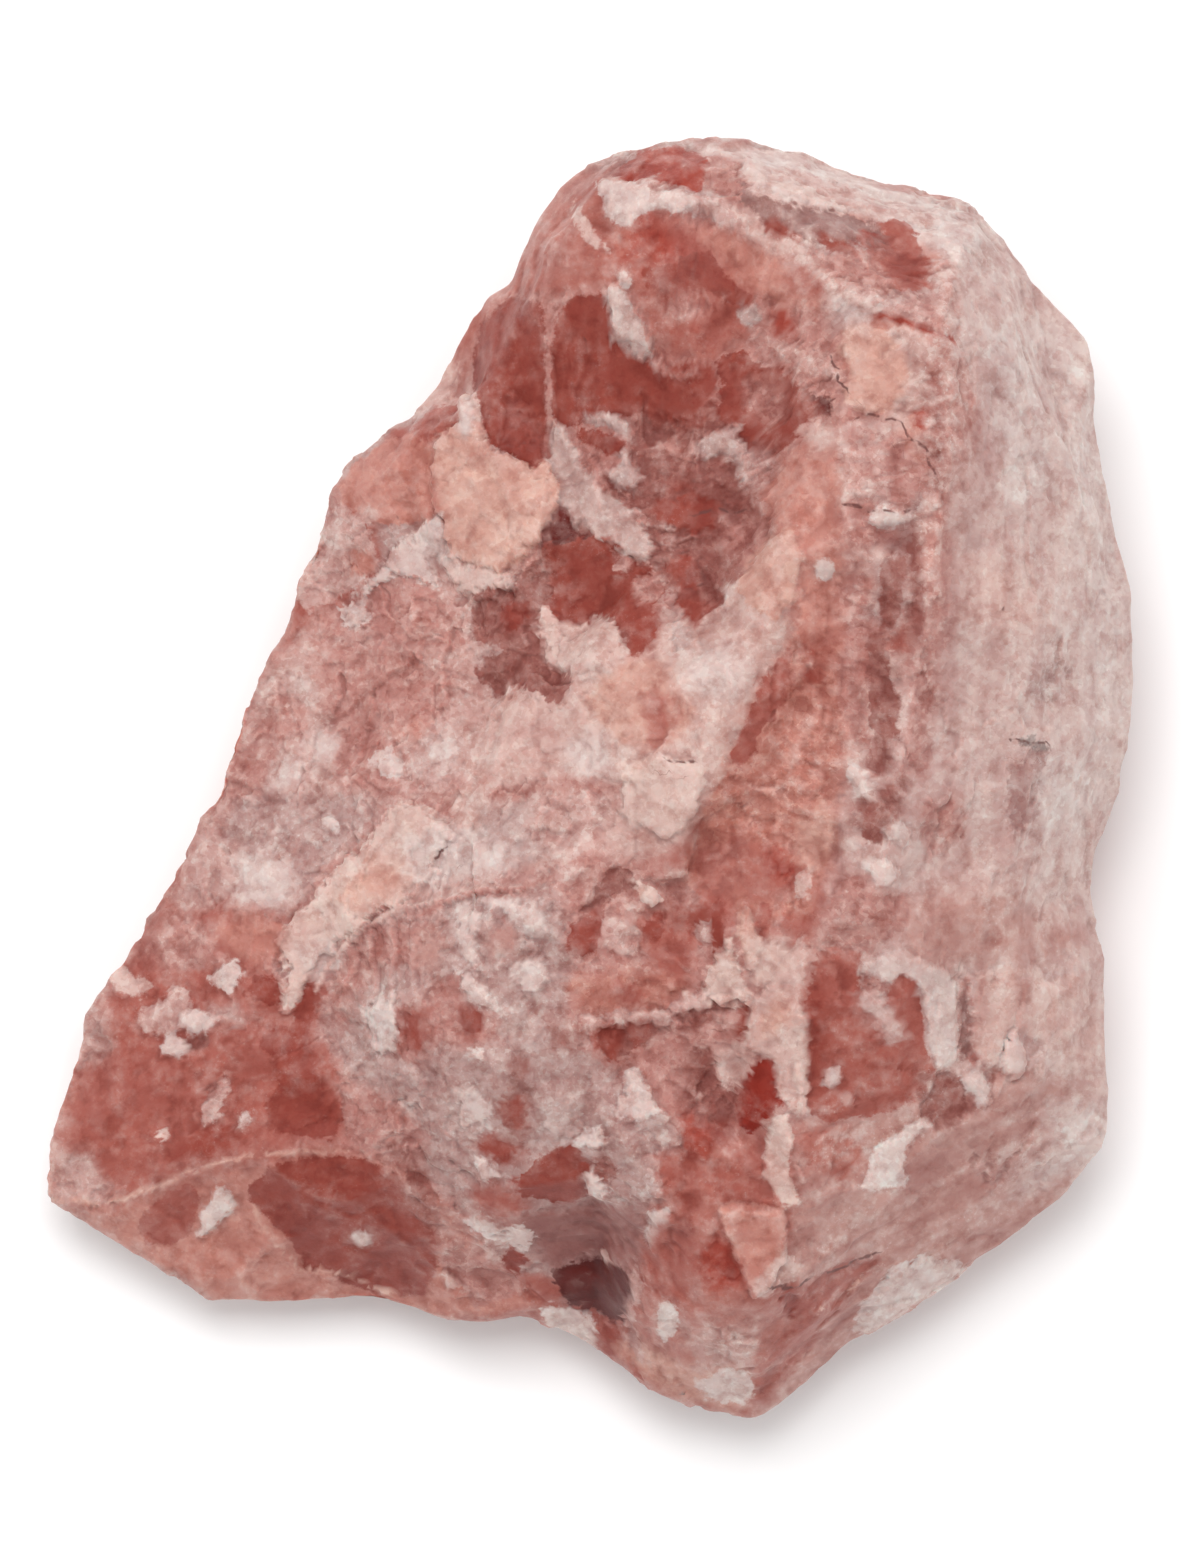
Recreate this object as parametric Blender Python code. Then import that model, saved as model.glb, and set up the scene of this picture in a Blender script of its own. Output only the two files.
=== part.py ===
"""A rough lump of pink calcite, lying on a broad cleavage face.

The stone grew and broke as one piece, so it is one solid. A cage of corner points, in
millimetres, gives its outline, ridges, ledges and hollows. The cage is read as a distance
from an inner point in every direction, a box of grid lines is thrown onto it, its creases
are worn a little, and chipped facets and rounded lumps are raised along the surface.
X is the width, Y the length and +Z up. The origin is under the middle of the stone.
"""

import bmesh
import bpy
import numpy as np

MILLIMETRE = 0.001

# Lengths from here on are in millimetres.
SIZE = np.array((67.9, 80.0, 35.8))  # width, length, height
HEART = np.array((2.0, -2.0, 7.0))  # the inner point that every surface point can be seen from
GRID_SPACING = 2.05  # of the grid lines thrown onto the form
WEAR = 1.2  # reach of the rounding of creases

CHIP_SIZE = 7.0  # across one chipped facet
CHIP_TILT = 0.2  # rise of a facet's slope over its run
CHIP_BOWL = 0.03  # hollowness of a facet, per millimetre
LUMP_SIZE = 4.5  # across one rounded lump
LUMP_DOME = 0.06  # roundness of a lump, per millimetre
UNEVEN = 0.7  # how unlike in size neighbouring facets or lumps are
LUMPS_MIDDLE = np.array((-2.5, -18.0))  # of the rounded mass in the south
LUMPS_REACH = 9.0
FOOT_CLEARANCE = 2.5  # height over which the relief fades in above the resting face
LIFT = np.array((0.4, 0.4, 1.0))  # share of the relief in X, Y and Z, which keeps the outline
TILE = 32  # cells along each side of the random tile that the chips repeat

# The rim, where the top meets the undercut sides: the outline seen from above.
RIM_NORTH = [
    (-0.4, 37.9, 16), (0.7, 37.6, 17), (2.9, 38.7, 18), (6, 39.5, 18), (8.8, 39.9, 17),
    (12.9, 38.5, 15), (17.2, 37.2, 14), (21, 36.2, 14), (24.4, 34.9, 15),
]
RIM_EAST = [
    (27.2, 31.2, 14), (29.1, 29, 12), (30.8, 26.8, 11), (31.2, 22.8, 10), (31.9, 19, 10),
    (32.8, 14.6, 10), (33.9, 11.5, 10), (33.9, 7.8, 10), (33.7, 3.4, 10), (32.8, -1.6, 9),
    (31.4, -5.4, 9), (31.5, -9.1, 9), (32.1, -14.1, 9), (32.2, -19.8, 9), (31.9, -22.6, 8),
]
RIM_SOUTH = [
    (29.1, -26, 7), (25.4, -29.1, 6), (20.1, -33, 5), (16, -35.1, 6), (12.9, -38, 6),
    (10.1, -40, 6), (5.4, -38.7, 6), (2.9, -37.2, 6), (0.4, -35.7, 5), (-2.1, -34.2, 5),
    (-4.6, -33.1, 6), (-7.1, -33.8, 6), (-10.2, -33.4, 5), (-14, -32.6, 5), (-18.4, -32.8, 5),
    (-23.7, -32.9, 5), (-27.8, -29.8, 5), (-31.2, -27.4, 5), (-33.9, -26.2, 6),
]
RIM_WEST = [
    (-33.7, -23.5, 7), (-32.4, -18.5, 7), (-31.2, -14.4, 8), (-29, -11.3, 8), (-26.2, -6.6, 8),
    (-24.6, -3.2, 9), (-23.2, -1, 9), (-22.1, 2.4, 9), (-20.8, 5.9, 10), (-18.4, 9, 10),
    (-18.1, 11.5, 11), (-16.8, 15.2, 11), (-16.1, 17.6, 12), (-14.9, 19.5, 12), (-12.4, 21.5, 13),
    (-10.9, 22.4, 13), (-8.7, 24.3, 14), (-7.9, 27.1, 14), (-6.5, 29.8, 15), (-4.9, 30.6, 15),
    (-4, 33.4, 16), (-2.1, 36.2, 16),
]

# The cleavage face that the stone lies on.
FOOTPRINT = [
    (-1, 27, 0), (9, 31, 0), (21, 27, 0), (26, 14, 0), (25, -4, 0), (24, -16, 0), (14, -28, 0),
    (5, -31, 0), (-8, -28, 0), (-22, -27, 0), (-27, -21, 0), (-20, -5, 0), (-13, 8, 0), (-8, 19, 0),
    (2, -2, 0),
]

# The top, from the crown ridge down to the west, the east and the south.
CROWN_RIDGE = [
    (3.5, 36.5, 25), (6.6, 35.6, 27), (10.4, 35.9, 28), (12.9, 33.4, 30), (16.6, 29.6, 32.5),
    (21.6, 27.8, 34), (22.2, 23.4, 35), (21.9, 18.4, 35.5), (21, 13.4, 35), (20.4, 8.4, 34.5),
    (19.4, 2.8, 33.5), (18.5, -2.9, 32.5),
]
NORTH_WEST_SHOULDER = [
    (0.4, 35.9, 22), (-2.1, 32.1, 22), (-4, 28.4, 21), (-5.9, 24.6, 19.5), (-7.1, 22.8, 17),
]
NORTH_EAST_FACE = [
    (14.8, 35.6, 24), (19.1, 32.1, 28), (22.9, 32.8, 28), (25.4, 28.4, 27),
]
EAST_FACE = [
    (26, 22.1, 27), (26.6, 15.9, 27), (27.2, 9.6, 26.5), (26.6, 3.4, 25.5), (26, -2.9, 25),
    (25.4, -9.1, 24), (29.8, 17.1, 19), (31, 9.6, 18), (30.4, 2.1, 18),
]
SOUTH_EAST_SHOULDER = [
    (17.2, -7.9, 31), (21, -11.6, 28), (16, -14.1, 29), (14.1, -19.8, 27), (21, -19.1, 24),
    (26.6, -19.1, 19), (30.4, -17.9, 14),
]
SOUTH_EAST_FACE = [
    (12.9, -25.4, 25), (19.1, -25.4, 20), (25.4, -24.1, 15), (11, -31.9, 21), (16, -31, 16),
    (21.6, -29.1, 12),
]
FOOT = [
    (8.5, -23.5, 25), (6.6, -27.9, 24), (4.1, -28.5, 20), (3.5, -32.9, 16), (7.2, -32.9, 20),
    (6, -36.6, 12), (10.4, -37.2, 13), (13.5, -34.1, 15),
]
NOTCH = [
    (0.4, -32.2, 9), (1, -27.9, 15), (-2.1, -32.2, 9.5),
]
BOULDER = [
    (-5.9, -11.6, 27), (0.4, -13.5, 28), (-10.9, -14.8, 23.5), (-5.9, -17.9, 26.5),
    (0.4, -20.4, 26), (-10.2, -21.6, 20.5), (-4.6, -25.4, 21), (-0.2, -24.8, 21.5),
    (-7.1, -29.1, 14), (-3.4, -30.4, 13), (-2.1, -7.9, 28.5), (-9.6, -9.1, 24),
]
GULLY = [
    (4.1, -14.1, 26.5), (5.6, -19.1, 24.5), (8.6, -19.6, 24.6), (8.6, -15.4, 26.5), (6.6, -7.9, 28.5),
    (2.9, -7.9, 29), (10.4, -7.9, 29),
]
PALE_SPUR = [
    (12.9, -9.8, 30), (12.2, -14.8, 29.2), (11.5, -20.4, 27.5), (11.3, -26, 24.5),
]
ORANGE_VALLEY = [
    (6.6, -4.8, 28.3), (10.4, -1.6, 28.5), (12.9, 4.6, 30), (14.8, -4.8, 29.5), (14.8, 9.6, 31),
    (16, 14.6, 33),
]
GROOVE = [
    (17.8, 13.4, 33), (17.2, 7.8, 32.2), (16.6, 2.1, 31.2),
]
CENTRAL_RIDGE = [
    (11.6, 13.4, 32.5), (10.4, 8.4, 32.3), (8.5, 3.4, 31.5), (6.6, -1, 30.8), (6, -4.8, 29.8),
    (3.5, 4.6, 30.5), (0.4, 7.8, 27), (1.6, -1.6, 29.5), (-2.1, 3.4, 26),
]
HOLLOW = [
    (2.9, 27.1, 25.5), (1.6, 29.6, 26), (4.1, 21.5, 23.8), (7.9, 26.5, 26.2), (11.2, 22.1, 27.4),
    (9.1, 17.1, 26), (6.6, 10.9, 25.6), (2.9, 12.1, 23.6), (0.4, 15.2, 22.8), (14.4, 26.5, 31),
    (15.4, 22.1, 31.6), (12.9, 18.4, 30), (-2.1, 20.2, 21.3), (-2.1, 27.8, 23.4),
]
PEACH_LEDGE = [
    (-5.9, 20.2, 20.5), (-9, 21.5, 17.5), (-9.6, 15.9, 18.5), (-2.8, 16.5, 22.2),
    (-4.6, 12.1, 20.5), (-9, 12.1, 17),
]
UNDER_LEDGE = [
    (-2.4, 12.2, 21), (-6.2, 9.2, 18.6), (-1.5, 8.4, 22.5), (-5.9, 5.2, 20),
]
WEST_SLOPE = [
    (-12.1, 19, 16.5), (-14.6, 14.6, 14.5), (-15.9, 10.9, 12.5), (-12.1, 10.9, 15.5),
    (-12.1, 4.6, 17), (-16.5, 5.9, 13.5), (-17.1, -0.4, 14), (-20.9, -1.6, 11.5),
    (-12.1, -1, 19.5), (-7.1, -0.4, 22.5), (-9.6, -5.4, 22), (-15.9, -6.6, 17.5),
    (-20.9, -6.6, 14), (-18.4, -11, 17), (-24, -11, 12.5), (-15.9, -14.1, 17),
    (-21.5, -14.8, 14.5), (-26.5, -14.8, 11.5),
]
SOUTH_WEST = [
    (-29.6, -20.4, 10.5), (-24.6, -20.4, 13), (-19, -19.1, 15), (-16.5, -19.1, 15.5),
    (-14.6, -22.9, 16.5),
]
SOUTH_WEST_RIDGE = [
    (-30.9, -26.3, 8.5), (-27.1, -25.4, 10.5), (-22.1, -23.5, 13.5), (-17.1, -22.6, 15.5),
    (-12.1, -23.5, 17), (-8.4, -25.7, 17),
]
SOUTH_WEST_FACE = [
    (-24.6, -28.5, 8.5), (-18.4, -27.9, 10.5), (-12.1, -28.5, 11.5), (-7.8, -30.4, 11),
]
CAGE = np.array(
    RIM_NORTH + RIM_EAST + RIM_SOUTH + RIM_WEST + FOOTPRINT + CROWN_RIDGE + NORTH_WEST_SHOULDER
    + NORTH_EAST_FACE + EAST_FACE + SOUTH_EAST_SHOULDER + SOUTH_EAST_FACE + FOOT + NOTCH + BOULDER
    + GULLY + PALE_SPUR + ORANGE_VALLEY + GROOVE + CENTRAL_RIDGE + HOLLOW + PEACH_LEDGE
    + UNDER_LEDGE + WEST_SLOPE + SOUTH_WEST + SOUTH_WEST_RIDGE + SOUTH_WEST_FACE,
    dtype=float,
)


def clear_scene():
    """Removes whatever the file opened with."""
    for obj in list(bpy.data.objects):
        bpy.data.objects.remove(obj)


def unit(vectors):
    """The same vectors at length one."""
    return vectors / np.linalg.norm(vectors, axis=-1, keepdims=True)


def cage_triangles():
    """The cage's triangles: the convex hull of the directions in which its points lie."""
    hull = bmesh.new()
    for direction in unit(CAGE - HEART):
        hull.verts.new(direction)
    hull.verts.index_update()
    bmesh.ops.convex_hull(hull, input=hull.verts)
    bmesh.ops.triangulate(hull, faces=hull.faces)
    triangles = np.array([[vert.index for vert in face.verts] for face in hull.faces])
    hull.free()
    return CAGE[triangles] - HEART


def reach(directions, triangles):
    """How far the cage lies from the heart in each direction."""
    first, second, third = triangles[:, 0], triangles[:, 1], triangles[:, 2]
    sides = [np.cross(first, second), np.cross(second, third), np.cross(third, first)]
    turn = np.sign(np.einsum("ij,ij->i", sides[0], third))[:, None]
    normals = np.cross(second - first, third - first)
    offsets = np.einsum("ij,ij->i", normals, first)
    distances = []
    for part in np.array_split(directions, 1 + len(directions) // 20000):
        inside = np.min([part @ (side * turn).T for side in sides], axis=0)
        chosen = inside.argmax(axis=1)
        distances.append(offsets[chosen] / np.einsum("ij,ij->i", normals[chosen], part))
    return np.concatenate(distances)


def box_grid(low, high, spacing):
    """The points and four-sided faces of a closed box of grid lines."""
    cells = np.round((high - low) / spacing).astype(int)
    sheets = []
    for axis in range(3):
        along, across = (axis + 1) % 3, (axis + 2) % 3
        i, j = np.meshgrid(np.arange(cells[along]), np.arange(cells[across]), indexing="ij")
        for end, steps in (
            (0, ((0, 0), (0, 1), (1, 1), (1, 0))),
            (cells[axis], ((0, 0), (1, 0), (1, 1), (0, 1))),
        ):
            sheet = np.empty((i.size, 4, 3), int)
            sheet[:, :, axis] = end
            for corner, (step_along, step_across) in enumerate(steps):
                sheet[:, corner, along] = (i + step_along).ravel()
                sheet[:, corner, across] = (j + step_across).ravel()
            sheets.append(sheet.reshape(-1, 3))
    lattice, faces = np.unique(np.concatenate(sheets), axis=0, return_inverse=True)
    return low + lattice / cells * (high - low), faces.reshape(-1, 4)


def corner_sums(faces, values):
    """For each point, the sum of the values of the faces round it."""
    spread = values.repeat(4, axis=0)
    return np.stack([np.bincount(faces.ravel(), column) for column in spread.T], axis=1)


def worn(points, faces, rounds):
    """The points after moving each one, again and again, to the middle of the faces round it."""
    share = np.bincount(faces.ravel())[:, None]
    for _ in range(rounds):
        points = corner_sums(faces, points[faces].mean(axis=1)) / share
    return points


def outward(points, faces):
    """The surface's normal at each point."""
    corners = points[faces]
    face_normals = np.cross(corners[:, 2] - corners[:, 0], corners[:, 3] - corners[:, 1])
    return unit(corner_sums(faces, face_normals))


def chips(points, size, tilt, bowl, seed):
    """Chipped relief: the lowest of many shallow tilted bowls, one round a seed in each cell."""
    tile = np.random.default_rng(seed).random((TILE, TILE, TILE, 7))
    home = np.floor(points / size).astype(int)
    lowest = np.full(len(points), np.inf)
    for step in np.ndindex(3, 3, 3):
        cell = home + np.array(step) - 1
        number = tile[tuple((cell % TILE).T)]
        away = points - (cell + number[:, :3]) * size
        slope = (number[:, 3:6] * 2 - 1) * tilt
        start = number[:, 6] * UNEVEN * bowl * size * size
        height = start + (away * slope).sum(axis=1) + bowl * (away * away).sum(axis=1)
        lowest = np.minimum(lowest, height)
    return lowest - bowl * size * size * 0.25


def relief(points):
    """Height of the broken surface above the worn form."""
    far = np.linalg.norm(points[:, :2] - LUMPS_MIDDLE, axis=1) / LUMPS_REACH
    lumpy = np.clip(2 - 2 * far, 0, 1)
    height = chips(points, CHIP_SIZE, CHIP_TILT, CHIP_BOWL, 1) * (1 - lumpy)
    height -= chips(points, LUMP_SIZE, 0, LUMP_DOME, 5) * lumpy
    return height * np.clip(points[:, 2] / FOOT_CLEARANCE, 0, 1)


def stone_mesh():
    """The stone's surface as a mesh, in metres."""
    box, faces = box_grid(CAGE.min(axis=0) - HEART, CAGE.max(axis=0) - HEART, GRID_SPACING)
    directions = unit(box)
    points = HEART + directions * reach(directions, cage_triangles())[:, None]
    points = worn(points, faces, max(1, round((WEAR / GRID_SPACING) ** 2)))
    points += outward(points, faces) * relief(points)[:, None] * LIFT
    points[:, 2] = np.maximum(points[:, 2], 0)
    low, high = points.min(axis=0), points.max(axis=0)
    points = (points - (low + high) / 2) / (high - low) * SIZE
    points[:, 2] += SIZE[2] / 2
    mesh = bpy.data.meshes.new("calcite")
    mesh.from_pydata((points * MILLIMETRE).tolist(), [], faces.tolist())
    mesh.update()
    return mesh


def calcite_material():
    """Waxy pink calcite."""
    material = bpy.data.materials.new("calcite")
    material.use_nodes = True
    shader = material.node_tree.nodes["Principled BSDF"]
    shader.inputs["Base Color"].default_value = (0.48, 0.24, 0.21, 1)
    shader.inputs["Roughness"].default_value = 0.45
    return material


def main():
    """Builds the stone."""
    clear_scene()
    stone = bpy.data.objects.new("calcite", stone_mesh())
    stone.data.materials.append(calcite_material())
    bpy.context.scene.collection.objects.link(stone)


main()
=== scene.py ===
"""A rough lump of pink calcite, dressed: broken relief, flakes, frost and translucent colour.

The stone is one solid. Its form is the frame's own, read from the same cage of corner
points, and this script throws a much finer grid onto it, breaks the surface up into
chips, ribs, lumps and flakes, and paints it by patches. Lengths are in millimetres until
a mesh is made. X is the width, Y the length and +Z up.
"""

import logging
import math
from dataclasses import dataclass, field
from enum import Enum

import bmesh
import bpy
import numpy as np
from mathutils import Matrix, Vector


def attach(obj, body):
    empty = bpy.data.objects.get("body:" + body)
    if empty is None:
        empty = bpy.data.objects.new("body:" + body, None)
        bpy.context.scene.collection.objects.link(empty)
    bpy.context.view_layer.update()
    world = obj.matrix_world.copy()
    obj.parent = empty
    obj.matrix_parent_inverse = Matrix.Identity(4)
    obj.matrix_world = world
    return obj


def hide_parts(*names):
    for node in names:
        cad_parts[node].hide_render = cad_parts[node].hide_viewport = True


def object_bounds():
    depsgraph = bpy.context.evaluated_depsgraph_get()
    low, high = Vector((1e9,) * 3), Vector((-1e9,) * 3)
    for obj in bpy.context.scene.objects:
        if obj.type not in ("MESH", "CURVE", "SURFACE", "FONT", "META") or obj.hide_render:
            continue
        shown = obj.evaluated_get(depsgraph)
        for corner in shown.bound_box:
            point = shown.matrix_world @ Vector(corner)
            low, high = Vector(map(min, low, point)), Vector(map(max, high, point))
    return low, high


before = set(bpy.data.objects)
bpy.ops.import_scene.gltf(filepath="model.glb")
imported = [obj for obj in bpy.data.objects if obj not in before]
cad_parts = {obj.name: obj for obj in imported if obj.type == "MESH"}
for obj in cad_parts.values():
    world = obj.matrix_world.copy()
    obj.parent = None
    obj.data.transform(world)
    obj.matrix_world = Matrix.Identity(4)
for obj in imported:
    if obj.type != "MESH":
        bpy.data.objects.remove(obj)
cad_low, cad_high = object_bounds()

LOG = logging.getLogger("calcite")
MILLIMETRE = 0.001
Socket = bpy.types.NodeSocket

HEART = np.array((2.0, -2.0, 7.0))  # the inner point that every surface point can be seen from
GRID_SPACING = 0.28  # of the grid lines thrown onto the form
TRIANGLES = 195_000  # of the finished stone
WEAR = 0.75  # reach of the rounding of creases
EVENING = 40  # smoothing steps between two throws of the grid
TILE = 32  # cells along each side of the random tiles that the reliefs repeat

CHIP_SIZE = 7.0  # across one of the large facets
CHIP_TILT = 0.2  # rise of a facet's slope over its run
CHIP_BOWL = 0.03  # hollowness of a facet, per millimetre
LUMP_SIZE = 4.5  # across one rounded lump
LUMP_DOME = 0.06  # roundness of a lump, per millimetre
UNEVEN = 0.7  # how unlike in size neighbouring facets or lumps are
LUMPS_MIDDLE = np.array((-2.5, -18.0))  # of the rounded mass in the south
LUMPS_REACH = 9.0
FOOT_CLEARANCE = 2.5  # height over which the relief fades in above the resting face
LIFT = np.array((0.4, 0.4, 1.0))  # share of the broad relief in X, Y and Z, which keeps the outline
FINE_LIFT = np.array((0.8, 0.8, 1.0))  # the same share of the fine relief
RELIEF_LEVEL = (1, 1, 0.6)  # stretches the fine relief's patterns down the steep faces
RIB_LEVEL = (1, 0.25, 0.4)  # and the ribs' northwards too

SHARP = 0.45  # a patch whose softness is below this has a sharp, broken edge
VEIL_EDGE = 0.8  # distance over which a sharp patch's cover fades, before its edge is broken up
CRACK_REACH = 1.2  # distance from a crack over which it is followed
GRAIN_SPREAD = (1000.0, 1000.0, 350.0)  # millimetres to a metre, stretched down the steep faces
STREAK_LEVEL = (1, 1, 0.5)  # stretches the streaks likewise
STREAK_TINT = (0.13, 0.21, 0.21)  # by how much a streak makes red, green and blue lighter
HOLLOW_SHADE = (0.30, 0.42, 0.42)  # painted shade: share of red, green and blue that a hollow's bottom loses
WORN_AND_RIM_LIGHT_COLOUR = (228, 200, 191)  # of the worn ridges, and of the painted rim light on the steep sides
SHADE = 0.84  # of the stone's colours under the studio's light

FACING_LOW, FACING_HIGH = -0.45, -0.1  # the normal's Z over which the patches fade in
EDGE_TEAR = (0.26, 0.4, 0.15)  # shift of a patch's edge by coarse grains, fine grains and clouds
PATCH_MARGIN = 1  # beyond its softness and raggedness, within which a patch is laid
SEAM_MARGIN = 2
SEAM_TEAR = 0.5  # of a patch's tear
CRACK_BEND = 0.24

MAP_ORIGIN = np.array((594.0, 774.0))  # the map's point over the middle of the stone
MAP_UNITS = 16.0  # of the map to a millimetre; its second number grows southwards

# The rim, where the top meets the undercut sides: the outline seen from above.
RIM_NORTH = [
    (-0.4, 37.9, 16), (0.7, 37.6, 17), (2.9, 38.7, 18), (6, 39.5, 18), (8.8, 39.9, 17),
    (12.9, 38.5, 15), (17.2, 37.2, 14), (21, 36.2, 14), (24.4, 34.9, 15),
]
RIM_EAST = [
    (27.2, 31.2, 14), (29.1, 29, 12), (30.8, 26.8, 11), (31.2, 22.8, 10), (31.9, 19, 10),
    (32.8, 14.6, 10), (33.9, 11.5, 10), (33.9, 7.8, 10), (33.7, 3.4, 10), (32.8, -1.6, 9),
    (31.4, -5.4, 9), (31.5, -9.1, 9), (32.1, -14.1, 9), (32.2, -19.8, 9), (31.9, -22.6, 8),
]
RIM_SOUTH = [
    (29.1, -26, 7), (25.4, -29.1, 6), (20.1, -33, 5), (16, -35.1, 6), (12.9, -38, 6),
    (10.1, -40, 6), (5.4, -38.7, 6), (2.9, -37.2, 6), (0.4, -35.7, 5), (-2.1, -34.2, 5),
    (-4.6, -33.1, 6), (-7.1, -33.8, 6), (-10.2, -33.4, 5), (-14, -32.6, 5), (-18.4, -32.8, 5),
    (-23.7, -32.9, 5), (-27.8, -29.8, 5), (-31.2, -27.4, 5), (-33.9, -26.2, 6),
]
RIM_WEST = [
    (-33.7, -23.5, 7), (-32.4, -18.5, 7), (-31.2, -14.4, 8), (-29, -11.3, 8), (-26.2, -6.6, 8),
    (-24.6, -3.2, 9), (-23.2, -1, 9), (-22.1, 2.4, 9), (-20.8, 5.9, 10), (-18.4, 9, 10),
    (-18.1, 11.5, 11), (-16.8, 15.2, 11), (-16.1, 17.6, 12), (-14.9, 19.5, 12), (-12.4, 21.5, 13),
    (-10.9, 22.4, 13), (-8.7, 24.3, 14), (-7.9, 27.1, 14), (-6.5, 29.8, 15), (-4.9, 30.6, 15),
    (-4, 33.4, 16), (-2.1, 36.2, 16),
]

# The cleavage face that the stone lies on.
FOOTPRINT = [
    (-1, 27, 0), (9, 31, 0), (21, 27, 0), (26, 14, 0), (25, -4, 0), (24, -16, 0), (14, -28, 0),
    (5, -31, 0), (-8, -28, 0), (-22, -27, 0), (-27, -21, 0), (-20, -5, 0), (-13, 8, 0), (-8, 19, 0),
    (2, -2, 0),
]

# The top, from the crown ridge down to the west, the east and the south.
CROWN_RIDGE = [
    (3.5, 36.5, 25), (6.6, 35.6, 27), (10.4, 35.9, 28), (12.9, 33.4, 30), (16.6, 29.6, 32.5),
    (21.6, 27.8, 34), (22.2, 23.4, 35), (21.9, 18.4, 35.5), (21, 13.4, 35), (20.4, 8.4, 34.5),
    (19.4, 2.8, 33.5), (18.5, -2.9, 32.5),
]
NORTH_WEST_SHOULDER = [
    (0.4, 35.9, 22), (-2.1, 32.1, 22), (-4, 28.4, 21), (-5.9, 24.6, 19.5), (-7.1, 22.8, 17),
]
NORTH_EAST_FACE = [
    (14.8, 35.6, 24), (19.1, 32.1, 28), (22.9, 32.8, 28), (25.4, 28.4, 27),
]
EAST_FACE = [
    (26, 22.1, 27), (26.6, 15.9, 27), (27.2, 9.6, 26.5), (26.6, 3.4, 25.5), (26, -2.9, 25),
    (25.4, -9.1, 24), (29.8, 17.1, 19), (31, 9.6, 18), (30.4, 2.1, 18),
]
SOUTH_EAST_SHOULDER = [
    (17.2, -7.9, 31), (21, -11.6, 28), (16, -14.1, 29), (14.1, -19.8, 27), (21, -19.1, 24),
    (26.6, -19.1, 19), (30.4, -17.9, 14),
]
SOUTH_EAST_FACE = [
    (12.9, -25.4, 25), (19.1, -25.4, 20), (25.4, -24.1, 15), (11, -31.9, 21), (16, -31, 16),
    (21.6, -29.1, 12),
]
FOOT = [
    (8.5, -23.5, 25), (6.6, -27.9, 24), (4.1, -28.5, 20), (3.5, -32.9, 16), (7.2, -32.9, 20),
    (6, -36.6, 12), (10.4, -37.2, 13), (13.5, -34.1, 15),
]
NOTCH = [
    (0.4, -32.2, 9), (1, -27.9, 15), (-2.1, -32.2, 9.5),
]
BOULDER = [
    (-5.9, -11.6, 27), (0.4, -13.5, 28), (-10.9, -14.8, 23.5), (-5.9, -17.9, 26.5),
    (0.4, -20.4, 26), (-10.2, -21.6, 20.5), (-4.6, -25.4, 21), (-0.2, -24.8, 21.5),
    (-7.1, -29.1, 14), (-3.4, -30.4, 13), (-2.1, -7.9, 28.5), (-9.6, -9.1, 24),
]
GULLY = [
    (4.1, -14.1, 26.5), (5.6, -19.1, 24.5), (8.6, -19.6, 24.6), (8.6, -15.4, 26.5),
    (6.6, -7.9, 28.5), (2.9, -7.9, 29), (10.4, -7.9, 29),
]
PALE_SPUR = [
    (12.9, -9.8, 30), (12.2, -14.8, 29.2), (11.5, -20.4, 27.5), (11.3, -26, 24.5),
]
ORANGE_VALLEY = [
    (6.6, -4.8, 28.3), (10.4, -1.6, 28.5), (12.9, 4.6, 30), (14.8, -4.8, 29.5), (14.8, 9.6, 31),
    (16, 14.6, 33),
]
GROOVE = [
    (17.8, 13.4, 33), (17.2, 7.8, 32.2), (16.6, 2.1, 31.2),
]
CENTRAL_RIDGE = [
    (11.6, 13.4, 32.5), (10.4, 8.4, 32.3), (8.5, 3.4, 31.5), (6.6, -1, 30.8), (6, -4.8, 29.8),
    (3.5, 4.6, 30.5), (0.4, 7.8, 27), (1.6, -1.6, 29.5), (-2.1, 3.4, 26),
]
HOLLOW = [
    (2.9, 27.1, 25.5), (1.6, 29.6, 26), (4.1, 21.5, 23.8), (7.9, 26.5, 26.2), (11.2, 22.1, 27.4),
    (9.1, 17.1, 26), (6.6, 10.9, 25.6), (2.9, 12.1, 23.6), (0.4, 15.2, 22.8), (14.4, 26.5, 31),
    (15.4, 22.1, 31.6), (12.9, 18.4, 30), (-2.1, 20.2, 21.3), (-2.1, 27.8, 23.4),
]
PEACH_LEDGE = [
    (-5.9, 20.2, 20.5), (-9, 21.5, 17.5), (-9.6, 15.9, 18.5), (-2.8, 16.5, 22.2),
    (-4.6, 12.1, 20.5), (-9, 12.1, 17),
]
UNDER_LEDGE = [
    (-2.4, 12.2, 21), (-6.2, 9.2, 18.6), (-1.5, 8.4, 22.5), (-5.9, 5.2, 20),
]
WEST_SLOPE = [
    (-12.1, 19, 16.5), (-14.6, 14.6, 14.5), (-15.9, 10.9, 12.5), (-12.1, 10.9, 15.5),
    (-12.1, 4.6, 17), (-16.5, 5.9, 13.5), (-17.1, -0.4, 14), (-20.9, -1.6, 11.5),
    (-12.1, -1, 19.5), (-7.1, -0.4, 22.5), (-9.6, -5.4, 22), (-15.9, -6.6, 17.5),
    (-20.9, -6.6, 14), (-18.4, -11, 17), (-24, -11, 12.5), (-15.9, -14.1, 17),
    (-21.5, -14.8, 14.5), (-26.5, -14.8, 11.5),
]
SOUTH_WEST = [
    (-29.6, -20.4, 10.5), (-24.6, -20.4, 13), (-19, -19.1, 15), (-16.5, -19.1, 15.5),
    (-14.6, -22.9, 16.5),
]
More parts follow.
